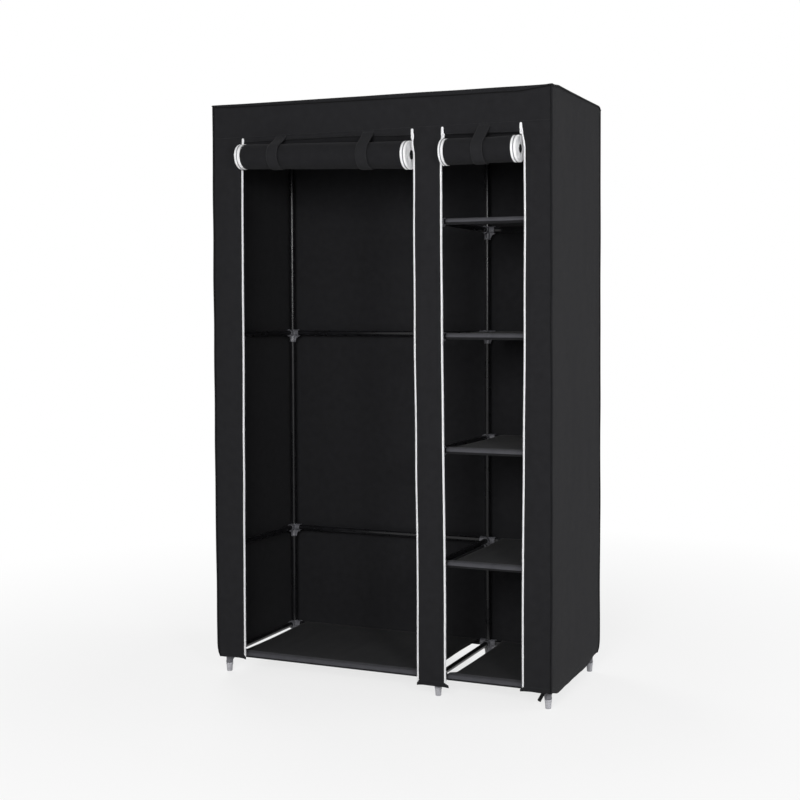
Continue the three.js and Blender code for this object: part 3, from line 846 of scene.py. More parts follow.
@dataclass
class CoverForm:
    """Where the cover's cloth goes: its sizes, and how it sags, bulges and wrinkles."""

    left: float = -0.550
    right: float = 0.550
    front: float = -0.1945
    back: float = 0.2555
    top: float = 1.7512
    skirt: float = 3.0 * MM
    header_bottom: float = 1.632
    openings: tuple[Pair, ...] = ((-0.446, 0.140), (0.213, 0.470))
    hems: Triple = (53.5 * MM, 37.2 * MM, 52.2 * MM)
    columns: Triple = (-0.527, 0.187, 0.527)
    row_inset: float = 32 * MM
    cloth: float = 1.5 * MM
    seam: float = 1.6448
    lap: float = 1.6 * MM
    pulls: tuple[float, float, float, float] = (-3 * MM, 8 * MM, 1 * MM, 4 * MM)
    drifts: tuple[Pair, ...] = ((-9.5, -7), (1, -6), (4.5, -3), (-3, 4.5))
    tips: tuple[float, float, float, float] = (6.5 * MM, 6.5 * MM, 15 * MM, 12 * MM)

    @property
    def stiles(self) -> tuple[Pair, Pair, Pair]:
        """The left and right edges of the three stiles."""
        (wide_left, wide_right), (narrow_left, narrow_right) = self.openings
        return (self.left, wide_left), (wide_right, narrow_left), (narrow_right, self.right)

    def seam_drop(self, x: float, y: float) -> float:
        """How far below the rim the top's seam runs: a little at the sides and back, more along the front."""
        share = min(max((x - self.left) / (self.right - self.left), 0), 1)
        front = 10 * MM * share**0.4 * smooth((1 - share) / 0.1) if y < self.front + 1e-6 else 0.0
        return self.skirt + front

    def rim(self, x: float, y: float) -> float:
        """The height of the cover's top edge: it dips between the columns and falls a little to the front right."""
        peak = 0.0
        for column in self.columns:
            for row in (self.front + self.row_inset, self.back - self.row_inset):
                peak = max(peak, bell(math.hypot(x - column, y - row), 60 * MM))
        share = (x - self.left) / (self.right - self.left)
        fall = 6 * MM * share * smooth(1 - (y - self.front) / (60 * MM))
        ear = 1.6 * MM * bell(math.hypot(x - self.right, y - self.front), 14 * MM)
        ear -= 9 * MM * bell(math.hypot(x - self.right, y - self.back), 8 * MM)
        return self.top - fall + ear - 0.9 * MM * (1 - peak) + 0.6 * MM * ripple(x * 9, y * 9, 3.1)

    def header_low(self, x: float) -> float:
        """The height of the header's lower edge, which hangs lower in the openings."""
        (_, wide_right), (narrow_left, narrow_right) = self.openings
        wide = 6 * MM * smooth((x + 0.1) / 0.2) * smooth((wide_right - x) / 0.02)
        narrow = smooth((x - narrow_left) / 0.02) * smooth((narrow_right - x) / 0.02)
        return self.header_bottom - wide - between(9, 14, (x - narrow_left) / 0.26) * MM * narrow

    def corner(self, side: float, row: float, z: float) -> Pair:
        """Where a vertical corner edge is at a height, in X and Y."""
        x, y = side, row
        if side < 0:
            hem = self.hems[0]
            x += 3 * MM * smooth((0.7 - z) / 0.6)
            tuck = min(max((hem + 42 * MM - z) / (42 * MM), 0), 1)
            x += (9 if row < 0 else 4) * MM * (1 - math.sqrt(1 - tuck**2 * 0.98))
            y += (3 * MM if row < 0 else -3 * MM) * tuck**2
        else:
            hem = self.hems[2]
            x -= 2 * MM * smooth((0.6 - z) / 0.6)
            tuck = min(max((hem + 46 * MM - z) / (46 * MM), 0), 1)
            x -= (1.5 if row < 0 else 6) * MM * (1 - math.sqrt(1 - tuck**2 * 0.98))
            y += (1 * MM if row < 0 else -12 * MM) * (1 - math.sqrt(1 - tuck**2 * 0.98))
        x += 0.8 * MM * ripple(z * 7, row * 10, side * 3)
        return x, y

    def hem_front(self, x: float) -> float:
        """The height of the front's hem, its corners hanging a little at the openings."""
        (wide_left, wide_right), (narrow_left, narrow_right) = self.openings
        stile = (x > (wide_left + wide_right) / 2) + (x > (narrow_left + narrow_right) / 2)
        ends = ((wide_left,), (wide_right, narrow_left), (narrow_right,))[stile]
        lift = -2.2 * MM * sum(smooth(1 - abs(x - end) / (12 * MM)) for end in ends)
        lift -= 2 * MM * smooth(1 - (x - self.left) / 0.05)
        return self.hems[stile] + lift + 0.9 * MM * ripple(x * 35, 0.2, 7.7)

    def proud(self, x: float, z: float) -> float:
        """How far the front's cloth stands out from its flat plane at a place."""
        bottom = self.header_low(x)
        if z > bottom - 1e-6:
            up = (z - bottom) / (self.top - bottom)
            width = 0.0
            for low, high in self.openings:
                if low < x < high:
                    width = math.sin(math.pi * (x - low) / (high - low)) ** 0.6
            hem = 3.4 * MM * width * math.sin(math.pi * min((z - bottom) / (self.seam - bottom), 1)) ** 0.8
            side = smooth((self.right - x) / 0.012) * smooth((x - self.left) / 0.012)
            hem += 1.1 * MM * side * smooth((z - self.seam) / (1.2 * MM)) * smooth((1 - up) / 0.5)
            slack = math.sin(math.pi * min(up, 1)) ** 0.8
            end = smooth((self.right - x) / 0.05) * smooth((x - self.left) / 0.05)
            sag = 1.1 * MM * ripple(x * 4.2, up * 1.3, 1.0) * slack * end
            pulls = 0.0
            for start, angle, reach in (
                (self.right, -0.42, 0.35),
                (self.columns[1], -0.55, 0.16),
                (self.columns[1], 3.70, 0.16),
                (self.left, 3.55 - math.pi, 0.25),
            ):
                dx, dz = x - start, (up - 1.0) * 0.122
                along = math.hypot(dx, dz)
                turn = math.atan2(dz, dx if start <= 0.3 else -dx)
                fade = smooth(along / 0.04) * smooth((reach - along) / 0.1)
                pulls += 1.0 * MM * bell(turn - angle * 0.6, 0.10) * fade
            return hem + (sag + pulls * 0.6 * slack)
        for low, high in self.stiles:
            if low - 1e-6 <= x <= high + 1e-6:
                share = (x - low) / (high - low)
                width = math.sin(math.pi * min(max(share, 0), 1)) ** 2
                fade = smooth((self.header_bottom - z) / 0.06) * smooth((z - 0.03) / 0.2)
                soft = 1.3 + 1.7 * ripple(x * 8, z * 3.1, 4.0) + 0.5 * ripple(x * 25, z * 11, 9.0)
                band = 0.7 * MM * bell((z - self.hem_front(x)) - 9 * MM, 6 * MM) * width
                return width * soft * MM * (0.35 + 0.65 * fade) + band
        return 0.0

    def sway(self, z: float, number: int) -> float:
        """How far an opening's edge and its zip stray sideways at a height, pulled inwards at the slider."""
        pulled = self.pulls[number] * smooth((z - self.header_bottom + 0.062) / 0.045)
        pulled *= smooth((self.header_bottom + 0.02 - z) / 0.02)
        free = smooth((self.header_bottom - z) / 0.05)
        low, high = self.drifts[number]
        drift = between(low, high, smooth((z - 0.2) / 1.1)) * MM
        return (drift + 0.7 * MM * ripple(z * 5.5, number, 2.2)) * free + (-pulled if number % 2 else pulled)

    def front_point(self, x: float, z: float) -> Vector:
        """A point of the front's outside for a flat place on it."""
        edges = (*self.openings[0], *self.openings[1])
        moved_x, y = x, self.front
        for side, edge in ((self.left, edges[0]), (self.right, edges[3])):
            share = (x - edge) / (side - edge)
            if share > 0:
                edge_x, edge_y = self.corner(side, self.front, z)
                moved_x += (edge_x - side) * share
                y += (edge_y - self.front) * share**3
        for number, edge in enumerate(edges):
            tip = self.tips[number] * smooth((self.hem_front(edge) + 14 * MM - z) / (8 * MM))
            lap = -self.lap - tip if number % 2 else self.lap + tip
            moved_x += (self.sway(z, number) + lap) * smooth(1 - abs(x - edge) / (20 * MM))
        return Vector((moved_x, y - self.proud(x, z), z))

    def side_point(self, side: float, share: float, z: float) -> Vector:
        """A point of a side for a share of the way from its front edge to its back edge."""
        front_x, front_y = self.corner(side, self.front, z)
        back_x, back_y = self.corner(side, self.back, z)
        y = between(front_y, back_y, share)
        sign = 1 if side > 0 else -1
        folds = math.sin(math.pi * share)
        drawn = 1.5 * MM * math.sin(math.pi * share + 0.8 * ripple(share, z * 1.6, side)) ** 2
        drawn += 1.5 * MM * (1 + ripple(share * 1.6, z * 1.7, 5 + side)) + 0.35 * MM * ripple(share * 9, z * 8, 6)
        top = smooth((self.top - z) / 0.06)
        chord = between(front_x, back_x, share)
        if side < 0:
            hug = between(front_x, side + 11 * MM, smooth(share / 0.06)) if front_x > side + 11 * MM else front_x
            chord = hug if share < 0.06 else between(min(front_x, side + 11 * MM), back_x, share)
        return Vector((chord - sign * drawn * folds**0.7 * (0.15 + 0.85 * top), y, z))

    def hem_side(self, side: float, share: float) -> float:
        """The height of a side's hem: the right one hangs lower behind its front corner."""
        base = self.hems[0] - 2 * MM * smooth(1 - share / 0.12)
        if side > 0:
            base = self.hems[2] - 15 * MM * smooth(share / 0.15) + 17 * MM * smooth((share - 0.72) / 0.28)
        return base + 0.8 * MM * ripple(share * 12, side, 8.8) * math.sin(math.pi * share)

    def hem_back(self, share: float) -> float:
        """The height of the back's hem, from its left end to its right."""
        wavy = 0.9 * MM * ripple(share * 30, 1, 2.5) * math.sin(math.pi * share)
        return between(self.hems[0], self.hems[2] + 2 * MM, smooth(share / 0.1)) + wavy

    def back_point(self, share: float, z: float) -> Vector:
        """A point of the back for a share of the way from its left edge to its right."""
        left_x, left_y = self.corner(self.left, self.back, z)
        right_x, right_y = self.corner(self.right, self.back, z)
        top = smooth((self.top - z) / 0.06)
        folds = math.sin(math.pi * share) ** 0.6
        drawn = 3.0 * MM * math.sin(4 * math.pi * share + 0.9 * ripple(share * 2, z * 1.3, 2)) ** 2
        drawn += 1.8 * MM * (1 + ripple(share * 6, z * 2.2, 8)) + 0.6 * MM * ripple(share * 26, z * 9, 3)
        y = between(left_y, right_y, share) - drawn * folds * (0.15 + 0.85 * top)
        return Vector((between(left_x, right_x, share), y, z))

    def top_point(self, x: float, y: float, down: float) -> Vector:
        """A point of the top for a flat place on it, or of its skirt where down is more than 0."""
        across = (x - self.left) / (self.right - self.left)
        deep = (y - self.front) / (self.back - self.front)
        within = 0 < across < 1 and 0 < deep < 1
        inside = (math.sin(math.pi * across) * math.sin(math.pi * deep)) ** 0.5 if within else 0
        over_tube = 0.35 + 0.65 * smooth(abs(x - self.columns[1]) / 0.12)
        sag = 7.5 * MM * inside * over_tube + 1.6 * MM * inside * ripple(x * 6, y * 6, 12)
        sag += 0.5 * MM * inside * ripple(x * 22, y * 22, 5)
        return Vector((x, y, self.rim(x, y) - sag - down))


@dataclass
class Cover:
    """The cover: top, back, two sides, and a front of header and stiles, with bound seams and hems; the seams' dark
    cords are painted shadow lines.
    """

    form: CoverForm
    shop: Workshop
    cell: float = 7 * MM
    hem_fold: float = 13 * MM
    welt: float = 1.9 * MM
    seam_cord: float = 0.9 * MM
    piping: float = 2.0 * MM

    def build(self) -> None:
        """Makes all the cover's pieces."""
        self._front()
        self._sides()
        self._back()
        self._top()
        self._seams()
        self._stitching()

    def _rise(self, hem: float, share: float, x: float, y: float) -> float:
        """The height at a share of the way from a hem to the seam under the rim."""
        return between(hem, self.form.rim(x, y) - self.form.seam_drop(x, y), share)

    def _front(self) -> None:
        """The header and the three stiles in one sheet."""
        form = self.form
        edges = [form.left, *[x for pair in form.openings for x in pair], form.right]
        columns: list[float] = []
        for low, high in zip(edges, edges[1:]):
            columns.extend(steps(low, high, self.cell)[:-1])
        columns.append(form.right)
        header_rows = [1, 1.03, 1.06, 1.09, 1.108, 1.12, 1.132, 1.15, *(1 + s for s in steps(0.2, 1, 1 / 16))]
        rows = [*steps(0, 1, self.cell / 1.57)[:-1], *header_rows]

        def place(x: float, row: float) -> Placed:
            if row < 1:
                z = between(form.hem_front(x), form.header_bottom, row)
            else:
                z = self._rise(form.header_low(x), row - 1, x, form.front)
            return form.front_point(x, z) + Vector((0, form.cloth / 2, 0)), (x, z)

        def kept(x: float, row: float) -> bool:
            return row > 1 or not any(low < x < high for low, high in form.openings)

        obj = cloth("cover_front_cloth", columns, rows, place, form.cloth, self.shop.finishes.cover, kept=kept)
        set_up(obj, Slot.COVER, ["cover_front"])
        turned_in = 15 * MM
        wide = [high - low for low, high in form.stiles]
        area = sum((w + turned_in * n) * (form.header_bottom - h) for w, h, n in zip(wide, form.hems, (1, 2, 1)))

    def _sides(self) -> None:
        """The two sides."""
        form = self.form
        for end, x in ((End.LEFT, form.left), (End.RIGHT, form.right)):

            def place(share: float, row: float, x: float = x) -> Placed:
                y = between(form.front, form.back, share)
                z = self._rise(form.hem_side(x, share), row, x, y)
                inward = Vector((-1 if x > 0 else 1, 0, 0)) * form.cloth / 2
                return form.side_point(x, share, z) + inward, (y, z)

            name = f"cover_{end.word}_side"
            shares, rows = steps(0, 1, self.cell / 0.45), steps(0, 1, self.cell / 1.7)
            obj = cloth(f"{name}_cloth", shares, rows, place, form.cloth, self.shop.finishes.cover)
            set_up(obj, Slot.COVER, [name])

    def _back(self) -> None:
        """The back."""
        form = self.form

        def place(share: float, row: float) -> Placed:
            x = between(form.left, form.right, share)
            z = self._rise(form.hem_back(share), row, x, form.back)
            return form.back_point(share, z) - Vector((0, form.cloth / 2, 0)), (x, z)

        shares, rows = steps(0, 1, 9 * MM / 1.1), steps(0, 1, 9 * MM / 1.7)
        obj = cloth("cover_back_cloth", shares, rows, place, form.cloth, self.shop.finishes.cover)
        set_up(obj, Slot.COVER, ["cover_back"])

    def _top(self) -> None:
        """The top with its short skirt."""
        form = self.form
        rolls = ((0.0, 0.0), (0.12, 1.6 * MM), (0.45, 2.8 * MM), (0.8, 2.6 * MM), (1.0, 0.8 * MM))

        def padded(low: float, high: float) -> list[float]:
            return [*(low - i for i in (4, 3, 2, 1)), *steps(low, high, 9 * MM), *(high + i for i in (1, 2, 3, 4))]

        def held(value: float, low: float, high: float) -> tuple[float, int]:
            flat = min(max(value, low), high)
            return flat, round(value - flat)

        def place(x: float, y: float) -> Placed:
            flat_x, over_x = held(x, form.left, form.right)
            flat_y, over_y = held(y, form.front, form.back)
            share, grow = rolls[max(abs(over_x), abs(over_y))]
            down = share * form.seam_drop(flat_x, flat_y)
            point = form.top_point(flat_x, flat_y, down)
            signs = [(over > 0) - (over < 0) for over in (over_x, over_y)]
            point += Vector((signs[0] * grow, signs[1] * grow, 0))
            return point, (flat_x + signs[0] * down, flat_y + signs[1] * down)

        xs, ys = padded(form.left, form.right), padded(form.front, form.back)
        obj = cloth("cover_top_cloth", xs, ys, place, form.cloth, self.shop.finishes.cover)
        set_up(obj, Slot.COVER, ["cover_top"])

    def _edge_path(self, lowered: float, out: float) -> list[Vector]:
        """The loop round the rim at a distance below its seam."""
        form, path = self.form, []
        corners = [(form.left, form.front), (form.right, form.front), (form.right, form.back), (form.left, form.back)]
        for i, (x, y) in enumerate(corners):
            x2, y2 = corners[(i + 1) % 4]
            for share in steps(0, 1, 12 * MM / max(abs(x2 - x), abs(y2 - y)))[:-1]:
                px, py = between(x, x2, share), between(y, y2, share)
                z = form.rim(px, py) - form.seam_drop(px, py) - lowered
                ox = out * (1 if px > 0 else -1) if abs(abs(px) - form.right) < 1e-6 else 0
                oy = out * (1 if py > 0 else -1) if min(abs(py - form.front), abs(py - form.back)) < 1e-6 else 0
                path.append(Vector((px + ox, py + oy, z)))
        return path

    def _seams(self) -> None:
        """The welt under the rim and the bound seams down the corners, in dark cord: a painted shadow line under the
        rim, and painted crease shadows on both sides of each corner's piping.
        """
        form = self.form
        finishes = self.shop.finishes
        welt, seams, piping = MeshParts(), MeshParts(), MeshParts()
        # The welt cord is dark cloth: a painted shadow line under the rim.
        welt.rings(sweep(self._edge_path(1.0 * MM, 0.4 * MM), self.welt, True), True)
        set_up(add_object("cover_rim_seam", welt.mesh("cover_rim_seam"), finishes.binding), Slot.COVER)
        aside = 3.6 * MM
        # The two thin cords beside each corner's piping are dark cloth: painted crease shadows.
        cords = ((seams, self.seam_cord, aside, 0), (seams, self.seam_cord, 0, aside), (piping, self.piping, 0, 0))
        for side in (form.left, form.right):
            for row in (form.front, form.back):
                low = form.hem_side(side, 0 if row < 0 else 1)
                high = form.rim(side, row) - form.skirt
                out = Vector((1 if side > 0 else -1, 1 if row > 0 else -1, 0)) * 0.5 * MM
                path = [Vector((*form.corner(side, row, z), z)) + out for z in steps(low, high, 14 * MM)]
                for cord, radius, dx, dy in cords:
                    line = [p - Vector((math.copysign(dx, side), math.copysign(dy, row), 0)) for p in path]
                    cord.rings(sweep(line, radius))
        for word, cord, finish in (("seams", seams, finishes.binding), ("piping", piping, finishes.piping)):
            name = f"cover_corner_{word}"
            set_up(add_object(name, cord.mesh(name), finish), Slot.COVER)
        self._tie()

    def _tie(self) -> None:
        """The short tie sewn inside the right stile's hem, hanging below it."""
        y, start, finish = self.form.front + 5 * MM, Vector((0.5340, 0, 0.0740)), Vector((0.5088, 0, 0.0274))
        length = (finish - start).length

        def place(across: float, along: float) -> Placed:
            point = start.lerp(finish, along / length) + Vector((across * 0.88, 0, -across * 0.47))
            curl = 1.2 * MM * math.sin(along * 90) + 60 * across * across
            return Vector((point.x, y + curl, point.z)), (across, along)

        half = 5.1 * MM
        columns, rows = steps(-half, half, 1.5 * MM), steps(0, length, 4 * MM)
        obj = cloth("cover_tie", columns, rows, place, 1.0 * MM, self.shop.finishes.binding)
        set_up(obj, Slot.COVER)

    def _stitching(self) -> None:
        """Stitches along the hems, the header's lower edge and beside the zips."""
        form = self.form
        out = Vector((0, -0.15 * MM, 0))
        paths: list[list[Vector]] = []
        for low, high in form.openings:
            inner = steps(low + 5 * MM, high - 5 * MM, 10 * MM)
            paths.append([form.front_point(x, form.header_low(x) + 3 * MM) + out for x in inner])
            for edge, sign in ((low, -1), (high, 1)):
                hem = form.hem_front(edge + sign * 12 * MM) + 3 * MM
                heights = steps(hem, form.header_bottom - 5 * MM, 12 * MM)
                paths.append([form.front_point(edge + sign * 3 * MM, z) + out for z in heights])
        whole = steps(form.left + 8 * MM, form.right - 8 * MM, 10 * MM)
        paths.append([form.front_point(x, form.seam + 4 * MM) + out for x in whole])
        for low, high in form.stiles:
            inner = steps(low + 6 * MM, high - 6 * MM, 5 * MM)
            paths.append([form.front_point(x, form.hem_front(x) + self.hem_fold) + out for x in inner])
        set_up(self.shop.stitches("cover_front_stitches", paths), Slot.COVER)
        hems: list[list[Vector]] = []
        for side in (form.left, form.right):
            out = Vector((math.copysign(0.15 * MM, side), 0, 0))
            shares = steps(0.02, 0.98, 0.02)
            hems.append([form.side_point(side, s, form.hem_side(side, s) + self.hem_fold) + out for s in shares])
        out = Vector((0, 0.15 * MM, 0))
        hems.append([form.back_point(s, form.hem_back(s) + self.hem_fold) + out for s in steps(0.01, 0.99, 0.01)])
        set_up(self.shop.stitches("cover_hem_stitches", hems), Slot.COVER)


# The doors


@dataclass(frozen=True)
class RollEnd:
    """One end of a roll: how far it hangs in front of the cover, its height and radius, and its wound tape."""

    forward: float
    height: float
    radius: float
    inset: float
    width: float


@dataclass
class Door:
    """One rolled-up door: its roll, the zip tape wound at both ends, the short stretch up to the header, and straps."""

    name: str
    opening: Pair
    strap_names: dict[str, float]
    hang: tuple[RollEnd, RollEnd]
    form: CoverForm
    shop: Workshop
    radius: float = 39.5 * MM
    core: float = 7 * MM
    turns: float = 10.5
    cloth: float = 1.5 * MM
    winding_turns: float = 7
    eccentric: float = 11 * MM
    winding_core: float = 15 * MM
    winding_tape: float = 2.3 * MM
    strap_width: float = 38 * MM
    strap_thickness: float = 1.2 * MM
    strap_seam: float = 14 * MM
    strap_inset: float = 12.5 * MM
    strap_skew: float = 0.0
    leave_angle: float = math.radians(58)

    @property
    def body(self) -> str:
        """The body that the roll rides on."""
        return f"{self.name}_door"

    @property
    def joint(self) -> str:
        """The joint that lets the roll down."""
        return f"{self.name}_door_drop"

    @property
    def ends(self) -> Pair:
        """The left and right ends of the windings."""
        return self.opening[0] + self.hang[0].inset, self.opening[1] - self.hang[1].inset

    def build(self) -> None:
        """Makes all the door's pieces."""
        self._roll()
        self._flap()
        for end, hang in zip(End, self.hang):
            self._winding(end, hang)
        for strap_name, middle in zip(self.strap_names, self._strap_middles()):
            self._strap(strap_name, middle)

    def _middle(self, x: float) -> Triple:
        """The roll's middle in Y and Z, and its radius, at a place along it."""
        left, right = self.ends
        share = (x - left) / (right - left)
        first, last = self.hang
        return (
            self.form.front - between(first.forward, last.forward, share),
            between(first.height, last.height, share),
            between(first.radius, last.radius, share),
        )

    def _on_roll(self, x: float, angle: float, radius: float) -> Pair:
        """The Y and Z of a place on the roll, for its radius on a roll of the plain size."""
        y, z, size = self._middle(x)
        grown = radius * size / self.radius
        y += self.eccentric * max(1 - radius / self.radius, 0)
        return y + grown * math.cos(angle), z + grown * math.sin(angle)

    def _spiral(self, outer: float, inner: float, turns: float) -> list[Triple]:
        """The angle, radius and distance along a spiral from its outer end inwards.

        Args:
            outer: The radius at its outer end.
            inner: The radius at its inner end.
            turns: How many times it goes round.

        Returns:
            Angle, radius and distance of each step.
        """
        made, turned, distance = [], 0.0, 0.0
        whole = turns * 2 * math.pi
        while turned < whole:
            radius = outer - (outer - inner) * turned / whole
            made.append((self.leave_angle - turned, radius, distance))
            step = 2 * math.pi / (14 + 34 * radius / outer)
            turned += step
            distance += radius * step
        made.append((self.leave_angle - whole, inner, distance))
        return made

    def _strap_middles(self) -> list[float]:
        """Where the straps are."""
        left, right = self.opening[0] + self.strap_inset, self.opening[1] - self.strap_inset
        return [between(left, right, share) for share in self.strap_names.values()]

    def _roll(self) -> None:
        """The door's cloth, wound up, a little squeezed under each strap."""
        left, right = self.ends
        left += self.hang[0].width + 0.3 * MM
        right -= self.hang[1].width + 0.3 * MM
        spiral = self._spiral(self.radius - self.cloth / 2, self.core + self.cloth / 2, self.turns)
        outer = spiral[0][1]

        def place(x: float, row: float) -> Placed:
            angle, radius, distance = spiral[round(row)]
            share = (x - left) / (right - left)
            squeeze = sum(bell(x - middle, 30 * MM) for middle in self._strap_middles())
            loose = math.sin(math.pi * share)
            change = -1.0 * MM * squeeze + 0.7 * MM * loose * ripple(x * 9, math.sin(angle) * 1.2, 20)
            change += 0.35 * MM * ripple(x * 30, angle * 0.7, 21) * loose
            edge = smooth(share / 0.02) * smooth((1 - share) / 0.02)
            grown = radius + change * (radius / outer) ** 2 * edge
            if radius < self.winding_core - 2.2 * MM:
                x = between(self.ends[0] + 2.5 * MM, self.ends[1] - 2.5 * MM, share)
            y, z = self._on_roll(x, angle, grown)
            shift = 0.8 * MM * ripple(angle * 0.4, 3, 9) * (1 - 2 * share) * (1 if abs(share - 0.5) > 0.49 else 0)
            return Vector((x + shift, y, z)), (x, -distance)

        name = f"{self.name}_door_roll"
        rows = [float(i) for i in range(len(spiral))]
        obj = cloth(f"{name}_cloth", steps(left, right, 9 * MM), rows, place, self.cloth, self.shop.finishes.door)
        set_up(obj, Slot.DOOR, [name], self.body)
        self._strap_pieces()
        self._flatten(obj)

    def _strap_pieces(self) -> list[str]:
        """The names of the strap pieces."""
        return [f"{self.name}_{strap}_ribbon" for strap in self.strap_names]

    def _flatten(self, obj: Object) -> None:
        """Gives a piece a mesh of its own."""
        self.joint
        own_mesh(obj)

    def _flap(self) -> None:
        """The short stretch of cloth from the header down to the roll, and the zip tape on its edges."""
        top_y, top_z = self.form.front + self.form.cloth + 0.2 * MM, self.form.header_bottom + 6 * MM
        low, high = self.ends[0] - 11 * MM, self.ends[1] + 11 * MM
        end_z = self._on_roll((low + high) / 2, self.leave_angle, self.radius)[1]
        start, finish = (0.0, top_y, self.form.header_bottom - 0.3 * MM), (0.0, top_y, end_z)

        def line(x: float, row: float) -> Pair:
            roll_y, roll_z = self._on_roll(x, self.leave_angle, self.radius + self.cloth / 2)
            return between(top_y + self.cloth / 2, roll_y, smooth(row) ** 1.5), between(top_z, roll_z, row)

        def place(x: float, row: float) -> Placed:
            inset = between(8.0 * MM, 11 * MM, smooth(row))
            moved = between(low + inset, high - inset, (x - low) / (high - low))
            y, z = line(moved, row)
            return Vector((moved, y + 0.5 * MM * ripple(x * 20, row, 5) * math.sin(math.pi * row), z)), (x, z)

        columns, rows = steps(low, high, 9 * MM), steps(0, 1, 1 / 40)
        obj = cloth(f"{self.name}_door_flap", columns, rows, place, self.cloth, self.shop.finishes.door)
        self.body
        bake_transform(obj)
        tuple(start)
        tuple(finish)
        for end in End:
            edge, inward = low if end is End.LEFT else high, -end.value

            def band(column: float, row: float, edge: float = edge, inward: int = inward) -> Placed:
                x = edge + inward * (between(8.6 * MM, 12.5 * MM, smooth(row)) + column)
                y, z = line(x, row)
                return Vector((x, y + 1.3 * MM, z)), (column, z)

            name = f"{self.name}_flap_zip_{end.word}"
            tape = cloth(name, steps(0, 14 * MM, 2 * MM), rows, band, 0.9 * MM, self.shop.finishes.tape)
            self.body
            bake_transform(tape)
            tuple(start)
            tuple(finish)

    def _winding(self, end: End, hang: RollEnd) -> None:
        """The zip tape wound at one end of the roll: two bands with a groove between, and its teeth."""
        outer_x = self.ends[0] if end is End.LEFT else self.ends[1]
        inward = -end.value
        half, width = self.winding_tape / 2 / MM, hang.width / MM
        spiral = self._spiral(self.radius + 1.5 * MM - self.winding_tape / 2, self.winding_core, self.winding_turns)
        middle = width * 0.46
        profile = [(0.0, -0.6), (0.5, -half), (width - 0.5, -half), (width, -0.6), (width, 0.6), (width - 0.5, half)]
        profile += [(middle + 1.6, half), (middle + 1.2, -0.6), (middle - 1.2, -0.6), (middle - 1.6, half)]
        profile += [(0.5, half), (0.0, 0.6)]
        parts, rings = MeshParts(), []
        for angle, radius, _ in spiral:
            stepped = 0.9 * MM * (1 + math.sin(6.2 * math.pi * radius / self.radius))
            stepped += 0.3 * MM * ripple(angle * 0.8, end.value * 3, 14)
            lobes = 1 + 0.012 * ripple(1.5 * math.cos(angle), 1.5 * math.sin(angle), 31 + end.value)
            ring = []
            for across, height in profile:
                x = outer_x + inward * across * MM
                y, z = self._on_roll(outer_x, angle, radius * lobes + height * MM)
                ring.append(Vector((x + inward * stepped * (1 - across / width), y, z)))
            rings.append(ring)
        parts.rings(rings)
        name = f"{self.name}_zip_winding_{end.word}"
        mesh = bpy.data.meshes.new(name)
        mesh.from_pydata(parts.points, [], parts.faces)
        layer = mesh.uv_layers.new(name="UVMap")
        size = len(profile)
        for loop in mesh.loops:
            ring_number, point_number = divmod(loop.vertex_index, size)
            layer.data[loop.index].uv = (profile[point_number][0] * MM, spiral[ring_number][2])
        # Faces of the groove between the two bands take the grey tape: painted shade in the groove.
        for face in mesh.polygons:
            places = {index % size for index in face.vertices}
            face.material_index = 1 if places <= {6, 7, 8, 9} else 0
        finishes = self.shop.finishes
        obj = crease(add_object(f"{name}_tape", mended(mesh, merge=False), finishes.tape, finishes.tape_groove), 40)
        set_up(obj, Slot.TAPE, [name], self.body)
        self._flatten(obj)
        path = []
        for angle, radius, _ in spiral:
            y, z = self._on_roll(outer_x, angle, radius)
            path.append(Vector((outer_x + inward * 1.0 * MM, y, z)))
        name, across = f"{self.name}_winding_teeth_{end.word}", (end.value, 0, 0)
        teeth = self.shop.paths.along(name, [path], self.shop.tooth, 2.5 * MM, finishes.zip, across)
        set_up(teeth, Slot.ZIP, body=self.body)
        self._flatten(teeth)

    def _strap(self, strap_name: str, middle: float) -> None:
        """A strap from the header's front, under the roll and up behind the header."""
        y, z, radius = self._middle(middle)
        centre = Vector((0, y, z))
        circle_radius = radius + 0.2 * MM + self.strap_thickness / 2
        front_y = self.form.front - 0.3 * MM - self.strap_thickness / 2
        back_y = self.form.front + self.form.cloth + self.cloth + 1.9 * MM
        bottom = self.form.header_bottom
        leave = bottom + 8 * MM

        def touch(y: float, z: float, sign: float) -> float:
            away = Vector((y - centre.y, z - centre.z))
            return math.atan2(away.y, away.x) + sign * math.acos(circle_radius / away.length)

        def round_roll(angle: float) -> Pair:
            return centre.y + circle_radius * math.cos(angle), centre.z + circle_radius * math.sin(angle)

        first = touch(front_y, leave, 1)
        last = touch(back_y, bottom, -1) + 2 * math.pi
        path = [(front_y, z, 1.0) for z in steps(bottom + self.strap_seam, leave, 2 * MM)]
        ty, tz = round_roll(first)
        for s in steps(0.12, 0.92, 0.16):
            path.append((between(front_y, ty, s), between(leave, tz, s), max(1 - 2.2 * s, 0.0)))
        path += [(*round_roll(angle), 0.0) for angle in steps(first, last, 0.13)]
        by, bz = round_roll(last)
        path += [(between(by, back_y, s), between(bz, bottom, s), 0.0) for s in steps(0.1, 0.9, 0.2)]
        path += [(back_y, z, 0.0) for z in steps(bottom + 2 * MM, bottom + self.strap_seam, 5 * MM)]
        distances = lengths(path)

        def aslant(index: int) -> float:
            return -self.strap_skew * smooth(index / 12) * smooth((len(path) - 1 - index) / 8)

        def place(across: float, row: float) -> Placed:
            index = round(row)
            y, z, on_header = path[index]
            x = middle + across * (1 - 0.03 * math.sin(math.pi * row / (len(path) - 1))) + aslant(index)
            y -= on_header * self.form.proud(x, z)
            curl = 0.5 * MM * smooth((abs(across) - self.strap_width * 0.40) / (self.strap_width * 0.1))
            away = Vector((y - centre.y, z - centre.z)).normalized()
            if not on_header:
                y -= away.x * curl
                z -= away.y * curl
            return Vector((x, y, z)), (across, distances[index])

